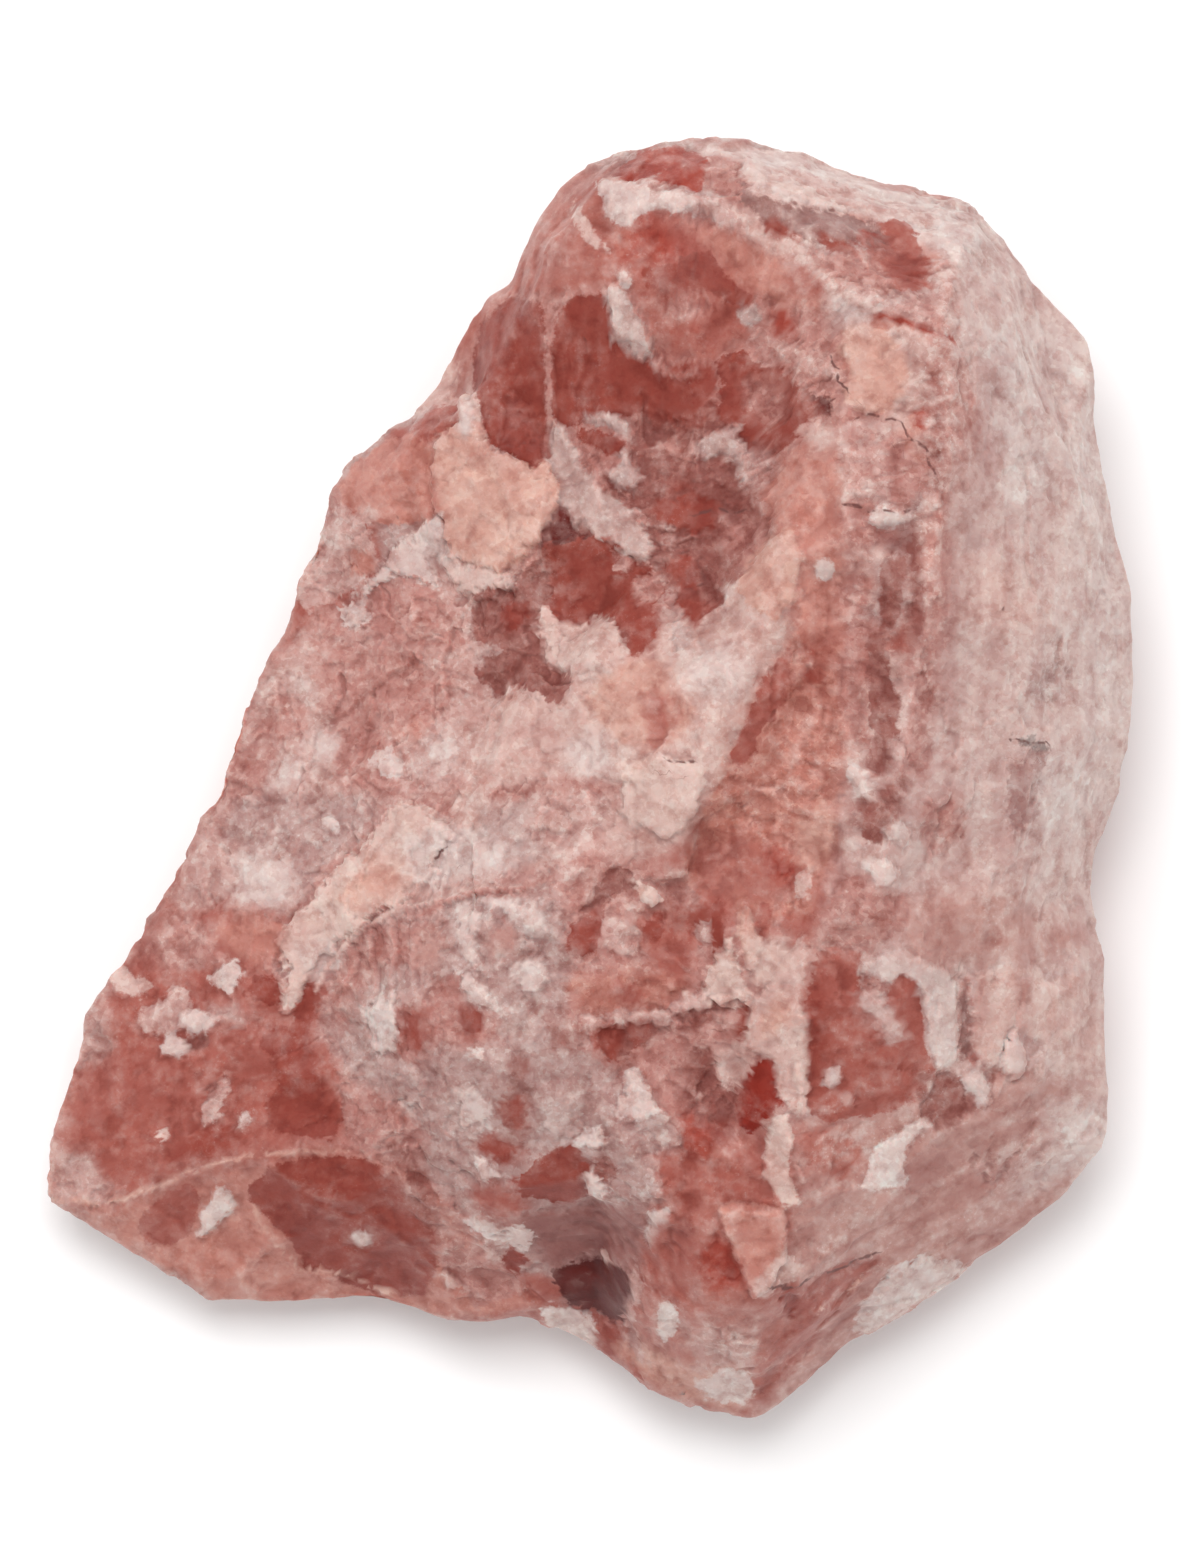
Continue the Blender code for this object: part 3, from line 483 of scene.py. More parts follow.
# The west slope and the south-west wedge.
MIDDLE_PATCHES = (
    Patch(Tone.FROST, 0.8, 1.4, (296, 672, 318, 664, 330, 680, 318, 696, 300, 690)),
    Patch(Tone.FROST, 0.8, 1.4, (276, 760, 296, 752, 306, 772, 292, 790, 274, 782)),
    Patch(Tone.SALMON, 0.8, 1.4, (388, 700, 420, 696, 436, 714, 420, 736, 394, 728)),
    Patch(Tone.FROST, 0.9, 1.5, (430, 740, 456, 728, 470, 748, 452, 772, 430, 764)),
    Patch(Tone.ROSE, 0.7, 1.2, (482, 768, 520, 778, 604, 768, 640, 786, 606, 800, 490, 792)),
    Patch(Tone.ASH, 0.8, 1.2, (480, 800, 540, 800, 560, 850, 520, 866, 480, 850)),
    Patch(Tone.ROSE, 0.8, 1.2, (330, 700, 400, 704, 404, 790, 350, 786, 322, 750)),
    Patch(Tone.PEACH, 0.5, 1.2, (590, 690, 610, 668, 640, 652, 662, 656, 682, 690, 700, 702,
        690, 730, 660, 744, 640, 745, 615, 731, 600, 716)),
    Patch(Tone.BLUSH, 0.5, 1.3, (650, 690, 675, 690, 683, 710, 675, 736, 656, 740, 648, 715)),
    Patch(Tone.FROST, 1.0, 1.0, (568, 738, 600, 728, 617, 745, 611, 766, 590, 771, 572, 762)),
    Patch(Tone.CREAM, 0.2, 0.9, (633, 762, 660, 752, 690, 754, 706, 765, 709, 785, 690, 823,
        670, 829, 620, 811, 628, 790, 625, 772), 0.4),
    Patch(Tone.FROST, 0.8, 1.2, (690, 650, 730, 640, 751, 655, 746, 690, 725, 701, 690, 680)),
    Patch(Tone.PINK, 0.5, 1.3, (538, 800, 580, 784, 611, 790, 617, 811, 611, 841, 580, 850,
        550, 841, 530, 826)),
    Patch(Tone.SHELL, 0.6, 1.4, (540, 730, 560, 715, 575, 735, 560, 765, 545, 760)),
    Patch(Tone.ROSE, 0.5, 1.5, (372, 602, 395, 580, 420, 575, 445, 580, 463, 596, 471, 641,
        455, 651, 390, 636, 370, 626, 318, 642, 314, 622, 335, 602, 352, 612)),
    Patch(Tone.SALMON, 0.4, 0.8, (345, 480, 360, 455, 395, 436, 420, 430, 437, 445, 445, 511,
        410, 521, 385, 520, 350, 501)),
    Patch(Tone.PINK, 0.4, 0.9, (325, 520, 345, 500, 370, 515, 386, 561, 350, 591, 313, 612,
        303, 596, 310, 560)),
    Patch(Tone.SALMON, 0.4, 0.9, (356, 545, 376, 548, 382, 566, 366, 574, 352, 562)),
    Patch(Tone.SHELL, 0.3, 0.8, (362, 503, 375, 500, 382, 512, 372, 520)),
    Patch(Tone.BRICK, 0.4, 0.9, (418, 426, 440, 406, 462, 394, 464, 412, 432, 441)),
    Patch(Tone.FROST, 0.3, 1.4, (446, 515, 436, 560, 446, 580, 430, 581, 415, 572, 395, 576,
        365, 600, 357, 591, 390, 565, 395, 545, 425, 520), 0.2),
    Patch(Tone.FROST, 0.3, 1.2, (343, 605, 365, 599, 376, 612, 362, 626, 348, 622), 0.2),
    Patch(Tone.ROSE, 0.8, 1.6, (320, 650, 360, 640, 420, 650, 460, 670, 455, 700, 420, 720,
        380, 730, 340, 700, 310, 690)),
    Patch(Tone.ROSE, 0.6, 1.4, (285, 680, 310, 700, 312, 730, 290, 742, 275, 760, 268, 800,
        240, 840, 225, 800, 235, 760)),
    Patch(Tone.FROST, 0.7, 0.8, (308, 742, 325, 724, 343, 735, 339, 751, 322, 757)),
    Patch(Tone.FROST, 0.4, 1.4, (376, 756, 400, 744, 411, 760, 400, 776, 384, 771)),
    Patch(Tone.ROSE, 0.4, 1.0, (425, 678, 440, 672, 448, 684, 436, 694)),
    Patch(Tone.LILAC, 0.6, 1.4, (232, 800, 262, 790, 300, 795, 350, 790, 385, 800, 372, 830,
        345, 845, 250, 850, 228, 835)),
    Patch(Tone.LILAC, 0.25, 1.1, (300, 841, 320, 826, 345, 830, 352, 841, 305, 889, 297, 868)),
    Patch(Tone.FROST, 0.3, 1.2, (322, 818, 340, 814, 352, 821, 338, 827), 0.2),
    Patch(Tone.CREAM, 0.25, 1.3, (395, 801, 410, 795, 425, 800, 466, 826, 441, 856, 451, 866,
        410, 896, 385, 906, 325, 956, 300, 1001, 291, 1009, 287, 985, 290, 950, 280, 935,
        345, 861, 370, 841), 0.4),
    Patch(Tone.PEACH, 0.8, 1.3, (335, 890, 372, 858, 402, 850, 415, 868, 398, 892, 362, 912)),
    Patch(Tone.FROST, 0.6, 1.4, (235, 851, 260, 845, 300, 856, 299, 886, 311, 890, 285, 906,
        260, 901, 240, 886)),
    Patch(Tone.PINK, 0.6, 1.2, (200, 846, 215, 840, 236, 860, 239, 886, 215, 901, 195, 906,
        172, 900)),
    Patch(Tone.SALMON, 0.5, 1.0, (250, 906, 275, 915, 291, 926, 286, 946, 265, 959, 245, 951,
        215, 921)),
    Patch(Tone.ROSE, 0.6, 1.4, (148, 932, 170, 906, 200, 906, 231, 951, 190, 971, 143, 951)),
    Patch(Tone.FROST, 0.2, 0.9, (214, 975, 236, 951, 243, 950, 253, 966, 234, 987), 0.4),
    Patch(Tone.PINK, 0.25, 1.0, (142, 1005, 163, 999, 172, 985, 186, 982, 196, 991, 194, 1003,
        205, 1008, 204, 1016, 164, 1030, 145, 1028), 0.3),
    Patch(Tone.FROST, 0.2, 1.0, (185, 1012, 196, 1004, 228, 1010, 216, 1022, 193, 1026), 0.3),
    Patch(Tone.MAUVE, 0.4, 0.9, (192, 1030, 216, 1027, 211, 1040, 186, 1050, 164, 1047, 184, 1043)),
    Patch(Tone.FROST, 0.2, 1.2, (176, 1030, 191, 1035, 186, 1046, 167, 1043), 0.3),
    Patch(Tone.SHELL, 0.3, 1.0, (112, 974, 125, 962, 158, 984, 148, 991, 135, 993, 121, 988), 0.25),
    Patch(Tone.DEEP, 0.4, 1.2, (245, 985, 262, 968, 282, 972, 288, 995, 275, 1000)),
    Patch(Tone.DEEP, 0.5, 1.1, (176, 1150, 200, 1122, 225, 1114, 241, 1130, 236, 1156, 180, 1163)),
    Patch(Tone.BRICK, 1.2, 1.4, (75, 1140, 110, 1110, 150, 1100, 140, 1140, 110, 1170, 70, 1175)),
    Patch(Tone.PINK, 0.2, 0.9, (204, 1112, 221, 1082, 233, 1074, 238, 1081, 229, 1094, 227, 1111,
        216, 1119, 206, 1119), 0.35),
    Patch(Tone.MAUVE, 0.2, 0.8, (214, 1080, 230, 1072, 226, 1090, 212, 1095)),
    Patch(Tone.FROST, 0.2, 0.8, (243, 1121, 250, 1105, 257, 1108, 249, 1123), 0.3),
    Patch(Tone.SHELL, 0.3, 1.2, (158, 1130, 172, 1119, 179, 1130, 168, 1143), 0.2),
    Patch(Tone.DEEP, 0.25, 0.8, (314, 971, 324, 966, 334, 985, 322, 1005, 315, 1030, 320, 1048,
        335, 1060, 346, 1078, 350, 1110, 338, 1136, 300, 1134, 272, 1122, 268, 1100, 283, 1080,
        278, 1055, 262, 1036, 280, 1018, 296, 1022)),
    Patch(Tone.BLUSH, 0.5, 0.8, (55, 1199, 100, 1199, 150, 1191, 215, 1158, 290, 1144, 340, 1140,
        365, 1146, 240, 1166, 120, 1208, 80, 1206)),
    Patch(Tone.BRICK, 0.2, 0.6, (148, 1206, 170, 1186, 200, 1180, 206, 1195, 196, 1226,
        180, 1241, 150, 1241, 143, 1225)),
    Patch(Tone.FROST, 0.2, 0.8, (222, 1179, 235, 1187, 239, 1200, 210, 1233, 199, 1231), 0.35),
    # partly painted shade: deep red on the south-west facet, which faces south and lies in shade
    Patch(Tone.DEEP, 0.2, 0.5, (254, 1182, 275, 1160, 320, 1150, 370, 1152, 400, 1165, 441, 1230,
        441, 1260, 427, 1291, 390, 1291, 355, 1281, 335, 1269, 310, 1263, 295, 1236, 253, 1196)),
    Patch(Tone.DEEP, 0.6, 0.8, (262, 1188, 290, 1175, 318, 1180, 338, 1210, 334, 1262, 312, 1260,
        296, 1234, 272, 1209)),
    Patch(Tone.DEEP, 0.6, 0.9, (345, 1200, 400, 1190, 440, 1230, 440, 1262, 427, 1290, 380, 1290,
        350, 1262)),
    Patch(Tone.FROST, 0.2, 0.8, (358, 1229, 378, 1234, 376, 1242, 362, 1239), 0.2),
    Patch(Tone.SHELL, 0.3, 1.2, (444, 1265, 482, 1281, 470, 1291, 450, 1281), 0.2),
    Patch(Tone.ROSE, 0.4, 1.0, (430, 1180, 472, 1240, 503, 1258, 532, 1290, 482, 1302, 445, 1262)),
    Patch(Tone.FROST, 0.7, 1.5, (406, 836, 450, 814, 492, 832, 522, 852, 512, 870, 450, 880,
        424, 880)),
    Patch(Tone.FROST, 0.7, 1.5, (306, 944, 340, 932, 350, 964, 320, 976)),
    Patch(Tone.PINK, 0.7, 1.5, (84, 1012, 108, 1002, 112, 1050, 92, 1064, 78, 1060)),
    Patch(Tone.PINK, 0.6, 1.4, (212, 1000, 240, 994, 248, 1016, 226, 1026)),
    Patch(Tone.BRICK, 0.6, 1.2, (316, 1030, 340, 1048, 354, 1078, 350, 1104, 330, 1092)),
)

# The rounded mass in the south and the notch beside it.
BOULDER_PATCHES = (
    Patch(Tone.PINK, 0.4, 1.2, (420, 906, 445, 886, 560, 855, 591, 862, 582, 876, 540, 877,
        460, 894, 430, 913)),
    Patch(Tone.ROSE, 0.7, 1.5, (330, 1000, 345, 955, 375, 925, 420, 910, 440, 925, 420, 960,
        390, 965, 360, 990, 345, 1030)),
    Patch(Tone.SMOKE, 0.7, 1.4, (412, 934, 436, 922, 452, 934, 444, 956, 428, 966, 412, 960)),
    Patch(Tone.ROSE, 0.8, 1.2, (402, 1002, 430, 988, 446, 968, 468, 966, 478, 982, 470, 1000,
        502, 1010, 506, 1032, 470, 1042, 440, 1036, 422, 1058, 404, 1052, 398, 1030)),
    Patch(Tone.DEEP, 0.7, 1.1, (406, 1006, 426, 998, 436, 1002, 428, 1020, 436, 1036, 424, 1052,
        410, 1042, 404, 1022), -0.1),
    Patch(Tone.DEEP, 0.6, 1.1, (464, 1004, 478, 998, 490, 1008, 484, 1026, 474, 1034,
        463, 1020), -0.1),
    Patch(Tone.MAUVE, 0.7, 1.1, (506, 1084, 528, 1078, 542, 1094, 536, 1122, 520, 1130,
        502, 1114, 496, 1098)),
    Patch(Tone.DEEP, 0.6, 1.0, (512, 1096, 526, 1092, 530, 1114, 514, 1118), -0.1),
    Patch(Tone.MAUVE, 0.6, 1.2, (514, 1054, 530, 1048, 534, 1064, 526, 1074, 515, 1068)),
    Patch(Tone.MAUVE, 0.7, 1.4, (530, 1010, 548, 1004, 566, 1020, 590, 1028, 580, 1044, 552, 1036)),
    Patch(Tone.DEEP, 0.5, 1.1, (478, 1140, 500, 1130, 520, 1134, 530, 1148, 514, 1158,
        500, 1158), -0.1),
    # partly painted shade: the boulder's south side, which falls into shade towards the notch
    Patch(Tone.DEEP, 0.15, 1.1, (518, 1178, 546, 1150, 568, 1140, 594, 1146, 602, 1164,
        598, 1182, 580, 1198, 526, 1190), -0.1),
    Patch(Tone.BRICK, 0.7, 1.2, (468, 1190, 490, 1178, 516, 1180, 534, 1196, 526, 1220,
        500, 1218, 478, 1206)),
    Patch(Tone.DUSK, 0.7, 1.2, (518, 1216, 545, 1204, 600, 1194, 644, 1196, 650, 1225, 636, 1262,
        600, 1252, 556, 1262, 536, 1244)),
    Patch(Tone.SMOKE, 0.6, 1.3, (488, 940, 496, 926, 515, 918, 526, 930, 520, 948, 500, 954)),
    Patch(Tone.PALE, 0.5, 1.4, (372, 1000, 384, 988, 398, 994, 404, 1015, 400, 1042, 388, 1050,
        376, 1042), 0.15),
    Patch(Tone.FROST, 0.45, 1.5, (462, 905, 478, 898, 486, 915, 478, 932, 486, 950, 482, 966,
        468, 958, 458, 930), 0.2),
    Patch(Tone.PALE, 0.5, 1.4, (478, 893, 500, 886, 528, 894, 544, 908, 548, 930, 534, 924,
        516, 906, 495, 902), 0.1),
    Patch(Tone.FROST, 0.5, 1.5, (520, 962, 540, 952, 554, 968, 542, 988, 524, 984), 0.15),
    Patch(Tone.FROST, 0.3, 1.1, (464, 960, 476, 966, 488, 984, 504, 994, 500, 1004, 480, 996,
        468, 980), 0.25),
    Patch(Tone.ASH, 0.6, 1.6, (504, 1000, 530, 1000, 548, 1018, 536, 1044, 514, 1038), 0.1),
    Patch(Tone.FROST, 0.7, 1.7, (460, 1088, 482, 1082, 500, 1098, 494, 1122, 470, 1126), 0.1),
    Patch(Tone.FROST, 0.5, 1.5, (390, 1098, 412, 1092, 424, 1114, 410, 1134, 390, 1122), 0.1),
    Patch(Tone.ASH, 0.8, 1.7, (545, 1098, 572, 1092, 584, 1114, 562, 1134, 544, 1120), 0.1),
    Patch(Tone.ASH, 0.8, 1.7, (404, 1056, 420, 1062, 418, 1086, 400, 1090, 392, 1070), 0.1),
    Patch(Tone.FROST, 0.3, 1.0, (474, 1042, 488, 1042, 488, 1056, 476, 1056), 0.15),
    Patch(Tone.FROST, 0.2, 1.0, (476, 1152, 490, 1150, 504, 1164, 500, 1178, 484, 1172), 0.3),
    Patch(Tone.FROST, 0.3, 1.2, (466, 1214, 482, 1210, 500, 1222, 524, 1220, 540, 1232,
        530, 1244, 506, 1240, 484, 1230), 0.2),
    Patch(Tone.LILAC, 0.5, 1.4, (596, 1124, 640, 1116, 672, 1150, 666, 1186, 640, 1198,
        616, 1192, 612, 1170, 594, 1150, 588, 1134), 0.1),
    # painted shadow: a mauve spot in the pale lilac patch
    Patch(Tone.MAUVE, 0.4, 1.0, (598, 1152, 612, 1148, 624, 1166, 614, 1178, 602, 1168)),
    Patch(Tone.PALE, 0.2, 0.8, (586, 1166, 598, 1158, 604, 1172, 618, 1186, 608, 1192,
        594, 1182), 0.35),
    Patch(Tone.PALE, 0.3, 1.1, (582, 1130, 600, 1120, 608, 1132, 596, 1142, 584, 1140), 0.25),
    Patch(Tone.DEEP, 0.4, 1.0, (504, 1254, 518, 1244, 534, 1256, 524, 1270, 508, 1264), -0.1),
    Patch(Tone.SHELL, 0.3, 1.0, (604, 1244, 610, 1240, 616, 1258, 610, 1264, 604, 1256), 0.2),
    Patch(Tone.LILAC, 0.5, 1.2, (634, 1085, 665, 1105, 692, 1136, 670, 1142, 640, 1112), 0.2),
    Patch(Tone.FROST, 0.2, 0.9, (632, 1062, 642, 1060, 664, 1106, 645, 1112, 624, 1110,
        616, 1100, 628, 1080), 0.4),
    Patch(Tone.FROST, 0.2, 0.7, (648, 1224, 656, 1204, 670, 1198, 676, 1212, 660, 1246,
        651, 1240), 0.35),
    Patch(Tone.PALE, 0.3, 1.0, (536, 1298, 597, 1308, 612, 1347, 580, 1337, 553, 1321)),
    # partly painted shade: deep red at the bottom of the notch
    Patch(Tone.DEEP, 0.2, 0.8, (598, 1325, 625, 1320, 629, 1345, 615, 1356, 600, 1346)),
)

# The valley down to the foot, and the red window in the south-east.
SOUTH_PATCHES = (
    Patch(Tone.BRICK, 0.6, 1.0, (652, 1150, 700, 1142, 704, 1200, 700, 1290, 680, 1302,
        646, 1290, 640, 1262, 656, 1222, 680, 1200)),
    Patch(Tone.PINK, 0.8, 1.0, (690, 1322, 762, 1318, 758, 1366, 702, 1370)),
    Patch(Tone.ROSE, 0.8, 1.2, (345, 1066, 410, 1096, 432, 1140, 412, 1166, 372, 1140, 352, 1110)),
    Patch(Tone.PINK, 0.8, 1.0, (52, 1146, 92, 1150, 118, 1200, 52, 1198)),
    Patch(Tone.BRICK, 0.5, 1.4, (700, 880, 735, 885, 740, 915, 725, 930, 705, 915)),
    Patch(Tone.ROSE, 0.7, 1.6, (605, 890, 640, 880, 650, 900, 640, 940, 612, 940)),
    Patch(Tone.FROST, 0.3, 1.3, (645, 890, 665, 885, 670, 897, 655, 903), 0.15),
    Patch(Tone.CORAL, 0.6, 1.1, (578, 976, 620, 964, 690, 965, 692, 990, 620, 1011, 590, 1006,
        576, 990)),
    Patch(Tone.PINK, 0.25, 1.2, (576, 1008, 620, 1010, 700, 990, 740, 985, 756, 995, 700, 1001,
        672, 1015, 600, 1021), 0.3),
    Patch(Tone.MAUVE, 0.3, 1.3, (604, 1022, 660, 1013, 682, 1016, 666, 1030, 622, 1052, 607, 1052)),
    Patch(Tone.ROSE, 0.3, 1.3, (680, 1011, 700, 1002, 752, 1001, 746, 1020, 712, 1060, 700, 1082,
        680, 1076, 655, 1060, 655, 1030)),
    Patch(Tone.CREAM, 0.3, 1.2, (699, 996, 705, 970, 733, 929, 746, 975, 757, 985, 750, 1001), 0.3),
    Patch(Tone.DEEP, 0.5, 1.2, (698, 1082, 745, 1078, 746, 1120, 722, 1141, 694, 1152, 688, 1120,
        700, 1100)),
    Patch(Tone.RUBY, 0.3, 0.9, (770, 1049, 779, 1060, 786, 1098, 758, 1127, 744, 1119, 741, 1095,
        745, 1075, 755, 1060)),
    Patch(Tone.SHELL, 0.3, 0.7, (750, 1000, 806, 929, 813, 945, 801, 1000, 800, 1040, 806, 1080,
        800, 1106, 790, 1100, 780, 1080, 775, 1055, 745, 1040), 0.25),
    Patch(Tone.CREAM, 0.3, 0.6, (775, 1111, 790, 1105, 796, 1130, 793, 1160, 801, 1196,
        785, 1202, 764, 1165), 0.2),
    Patch(Tone.PEACH, 0.6, 1.2, (762, 1010, 785, 990, 795, 1015, 780, 1035, 765, 1030)),
    Patch(Tone.BRICK, 0.4, 1.0, (816, 948, 842, 938, 862, 946, 864, 996, 880, 1008, 890, 1030,
        918, 1015, 945, 1078, 925, 1098, 834, 1119, 814, 1105, 808, 1010)),
    Patch(Tone.FROST, 0.2, 0.8, (829, 1062, 840, 1057, 846, 1072, 835, 1081, 827, 1076), 0.2),
    Patch(Tone.FROST, 0.2, 0.45, (866, 952, 900, 942, 946, 960, 958, 976, 959, 1045, 952, 1058,
        944, 1062, 936, 1056, 922, 984, 912, 972, 900, 966, 893, 975, 863, 967), 0.25),
    Patch(Tone.SMOKE, 0.4, 0.9, (862, 993, 875, 988, 884, 1000, 905, 1014, 909, 1028,
        896, 1031), 0.1),
    Patch(Tone.ROSE, 0.4, 0.9, (864, 970, 886, 973, 892, 982, 878, 990, 866, 985)),
    Patch(Tone.ROSE, 0.3, 0.8, (965, 975, 972, 985, 974, 1035, 979, 1052, 970, 1062, 963, 1040,
        966, 1010, 960, 990), -0.1),
    Patch(Tone.SHELL, 0.25, 0.5, (975, 985, 990, 975, 1010, 970, 1050, 975, 1096, 965,
        1096, 1000, 1090, 1020, 1075, 1030, 1060, 1019, 1045, 1036, 1015, 1019, 1004, 1030,
        1002, 1056, 990, 1060, 976, 1040), 0.2),
    Patch(Tone.PALE, 0.2, 0.4, (1005, 1030, 1015, 1025, 1023, 1035, 1026, 1050, 1022, 1068,
        1012, 1073, 1004, 1063, 1001, 1048), 0.25),
    Patch(Tone.SHELL, 0.2, 0.5, (961, 1070, 975, 1061, 985, 1064, 995, 1092, 987, 1101,
        979, 1098, 976, 1085), 0.2),
    Patch(Tone.SHELL, 0.3, 1.0, (1036, 1060, 1045, 1052, 1052, 1066, 1043, 1077), 0.2),
    Patch(Tone.PALE, 0.2, 0.5, (862, 1184, 880, 1140, 915, 1114, 943, 1106, 935, 1118, 925, 1122,
        907, 1145, 903, 1160, 910, 1168, 908, 1180), 0.25),
    Patch(Tone.PALE, 0.3, 0.8, (857, 1327, 870, 1300, 900, 1262, 930, 1251, 967, 1259, 957, 1281,
        900, 1312, 880, 1328), 0.3),
    # partly painted shade: the dark notch between the boulder and the foot, on deep red stone
    Patch(Tone.WINE, 0.3, 0.8, (556, 1262, 600, 1254, 634, 1264, 640, 1290, 622, 1322, 600, 1306,
        570, 1300)),
    Patch(Tone.BRICK, 0.5, 0.8, (790, 1284, 800, 1282, 845, 1255, 886, 1250, 850, 1292,
        818, 1342, 790, 1374, 766, 1394, 759, 1375, 790, 1320), -0.2),
    Patch(Tone.DEEP, 0.5, 0.8, (783, 1284, 800, 1282, 806, 1296, 796, 1318, 784, 1312), -0.2),
    Patch(Tone.SMOKE, 0.4, 0.9, (788, 1277, 808, 1272, 852, 1226, 815, 1248), 0.15),
    Patch(Tone.PEACH, 0.2, 0.8, (848, 1290, 869, 1267, 866, 1278, 854, 1290), 0.1),
    Patch(Tone.PEACH, 0.2, 0.8, (819, 1312, 824, 1302, 829, 1304, 824, 1314), 0.1),
    Patch(Tone.PINK, 0.9, 1.0, (975, 1155, 1060, 1128, 1055, 1160, 1000, 1182)),
    Patch(Tone.PALE, 1.2, 1.0, (1050, 1100, 1118, 1085, 1115, 1150, 1020, 1190, 1060, 1140)),
    Patch(Tone.BRICK, 0.6, 1.0, (698, 1170, 760, 1138, 766, 1165, 782, 1202, 762, 1232)),
    Patch(Tone.CAP, 0.6, 0.9, (700, 1245, 722, 1225, 740, 1240, 752, 1275, 730, 1285,
        705, 1280), -0.1),
    Patch(Tone.SALMON, 0.25, 0.5, (720, 1201, 740, 1194, 785, 1200, 791, 1220, 786, 1250,
        770, 1276, 756, 1285), 0.7),
    Patch(Tone.SHELL, 0.3, 0.9, (753, 1283, 757, 1272, 768, 1266, 786, 1242, 806, 1262,
        798, 1276, 765, 1289), 0.15),
    Patch(Tone.PEACH, 0.5, 1.0, (636, 1330, 700, 1366, 750, 1366, 756, 1386, 745, 1402,
        700, 1396, 660, 1382, 622, 1341)),
    Patch(Tone.PALE, 0.4, 0.9, (700, 1376, 730, 1364, 755, 1369, 759, 1390, 745, 1399, 710, 1393)),
    Patch(Tone.PALE, 0.3, 0.5, (661, 1302, 668, 1294, 678, 1299, 682, 1312, 679, 1328, 671, 1338,
        663, 1324)),
    Patch(Tone.PINK, 0.3, 0.9, (640, 1252, 646, 1280, 638, 1318, 654, 1360, 645, 1362,
        627, 1325), 0.15),
    Patch(Tone.SHELL, 0.3, 0.8, (742, 903, 752, 898, 762, 925, 760, 958, 748, 964), 0.3),
    Patch(Tone.CREAM, 0.3, 0.8, (800, 1000, 812, 1010, 814, 1105, 800, 1108, 796, 1060), 0.3),
    Patch(Tone.SHELL, 0.3, 1.0, (545, 648, 556, 625, 575, 637, 590, 618, 606, 612, 618, 622,
        630, 646, 612, 668, 575, 670, 555, 662), 0.3),
    Patch(Tone.PEACH, 0.4, 1.0, (740, 590, 752, 560, 768, 535, 796, 524, 804, 560, 798, 600,
        780, 620, 760, 612), 0.2),
    Patch(Tone.DEEP, 0.5, 1.3, (600, 1020, 612, 1016, 622, 1022, 612, 1058, 604, 1046), -0.1),
    Patch(Tone.DEEP, 0.6, 1.3, (632, 1016, 652, 1014, 642, 1050, 634, 1036)),
    Patch(Tone.DEEP, 0.5, 1.4, (682, 896, 706, 900, 722, 894, 724, 912, 700, 922, 686, 916)),
    Patch(Tone.CAP, 0.6, 1.2, (684, 1104, 704, 1100, 716, 1122, 708, 1148, 690, 1144)),
    Patch(Tone.ROSE, 0.5, 1.1, (603, 896, 628, 892, 640, 906, 638, 942, 620, 950, 604, 940), 0.1),
    Patch(Tone.BRICK, 0.5, 1.2, (616, 978, 644, 974, 650, 1000, 624, 1006)),
    Patch(Tone.PEACH, 0.4, 0.9, (741, 902, 756, 900, 760, 940, 757, 962, 744, 950)),
    Patch(Tone.BRICK, 0.4, 0.9, (763, 898, 776, 898, 768, 958, 762, 944)),
    Patch(Tone.ROSE, 0.4, 0.5, (962, 972, 972, 974, 972, 1052, 964, 1046, 960, 1008)),
    Patch(Tone.BRICK, 0.2, 0.4, (895, 973, 906, 968, 919, 976, 932, 1062, 914, 1066, 905, 1034,
        892, 1010, 888, 990)),
    Patch(Tone.MAUVE, 0.6, 1.2, (924, 1064, 958, 1068, 978, 1102, 950, 1122, 922, 1112)),
    Patch(Tone.MAUVE, 0.6, 1.2, (986, 1058, 1038, 1064, 1042, 1092, 1002, 1106, 986, 1092)),
    Patch(Tone.BLUSH, 0.6, 1.2, (800, 1120, 868, 1126, 866, 1160, 840, 1174, 804, 1162)),
    Patch(Tone.CREAM, 0.6, 1.3, (752, 926, 790, 930, 802, 958, 780, 986, 756, 980)),
    Patch(Tone.MAUVE, 0.6, 1.3, (388, 1140, 412, 1146, 440, 1186, 448, 1226, 430, 1222)),
)

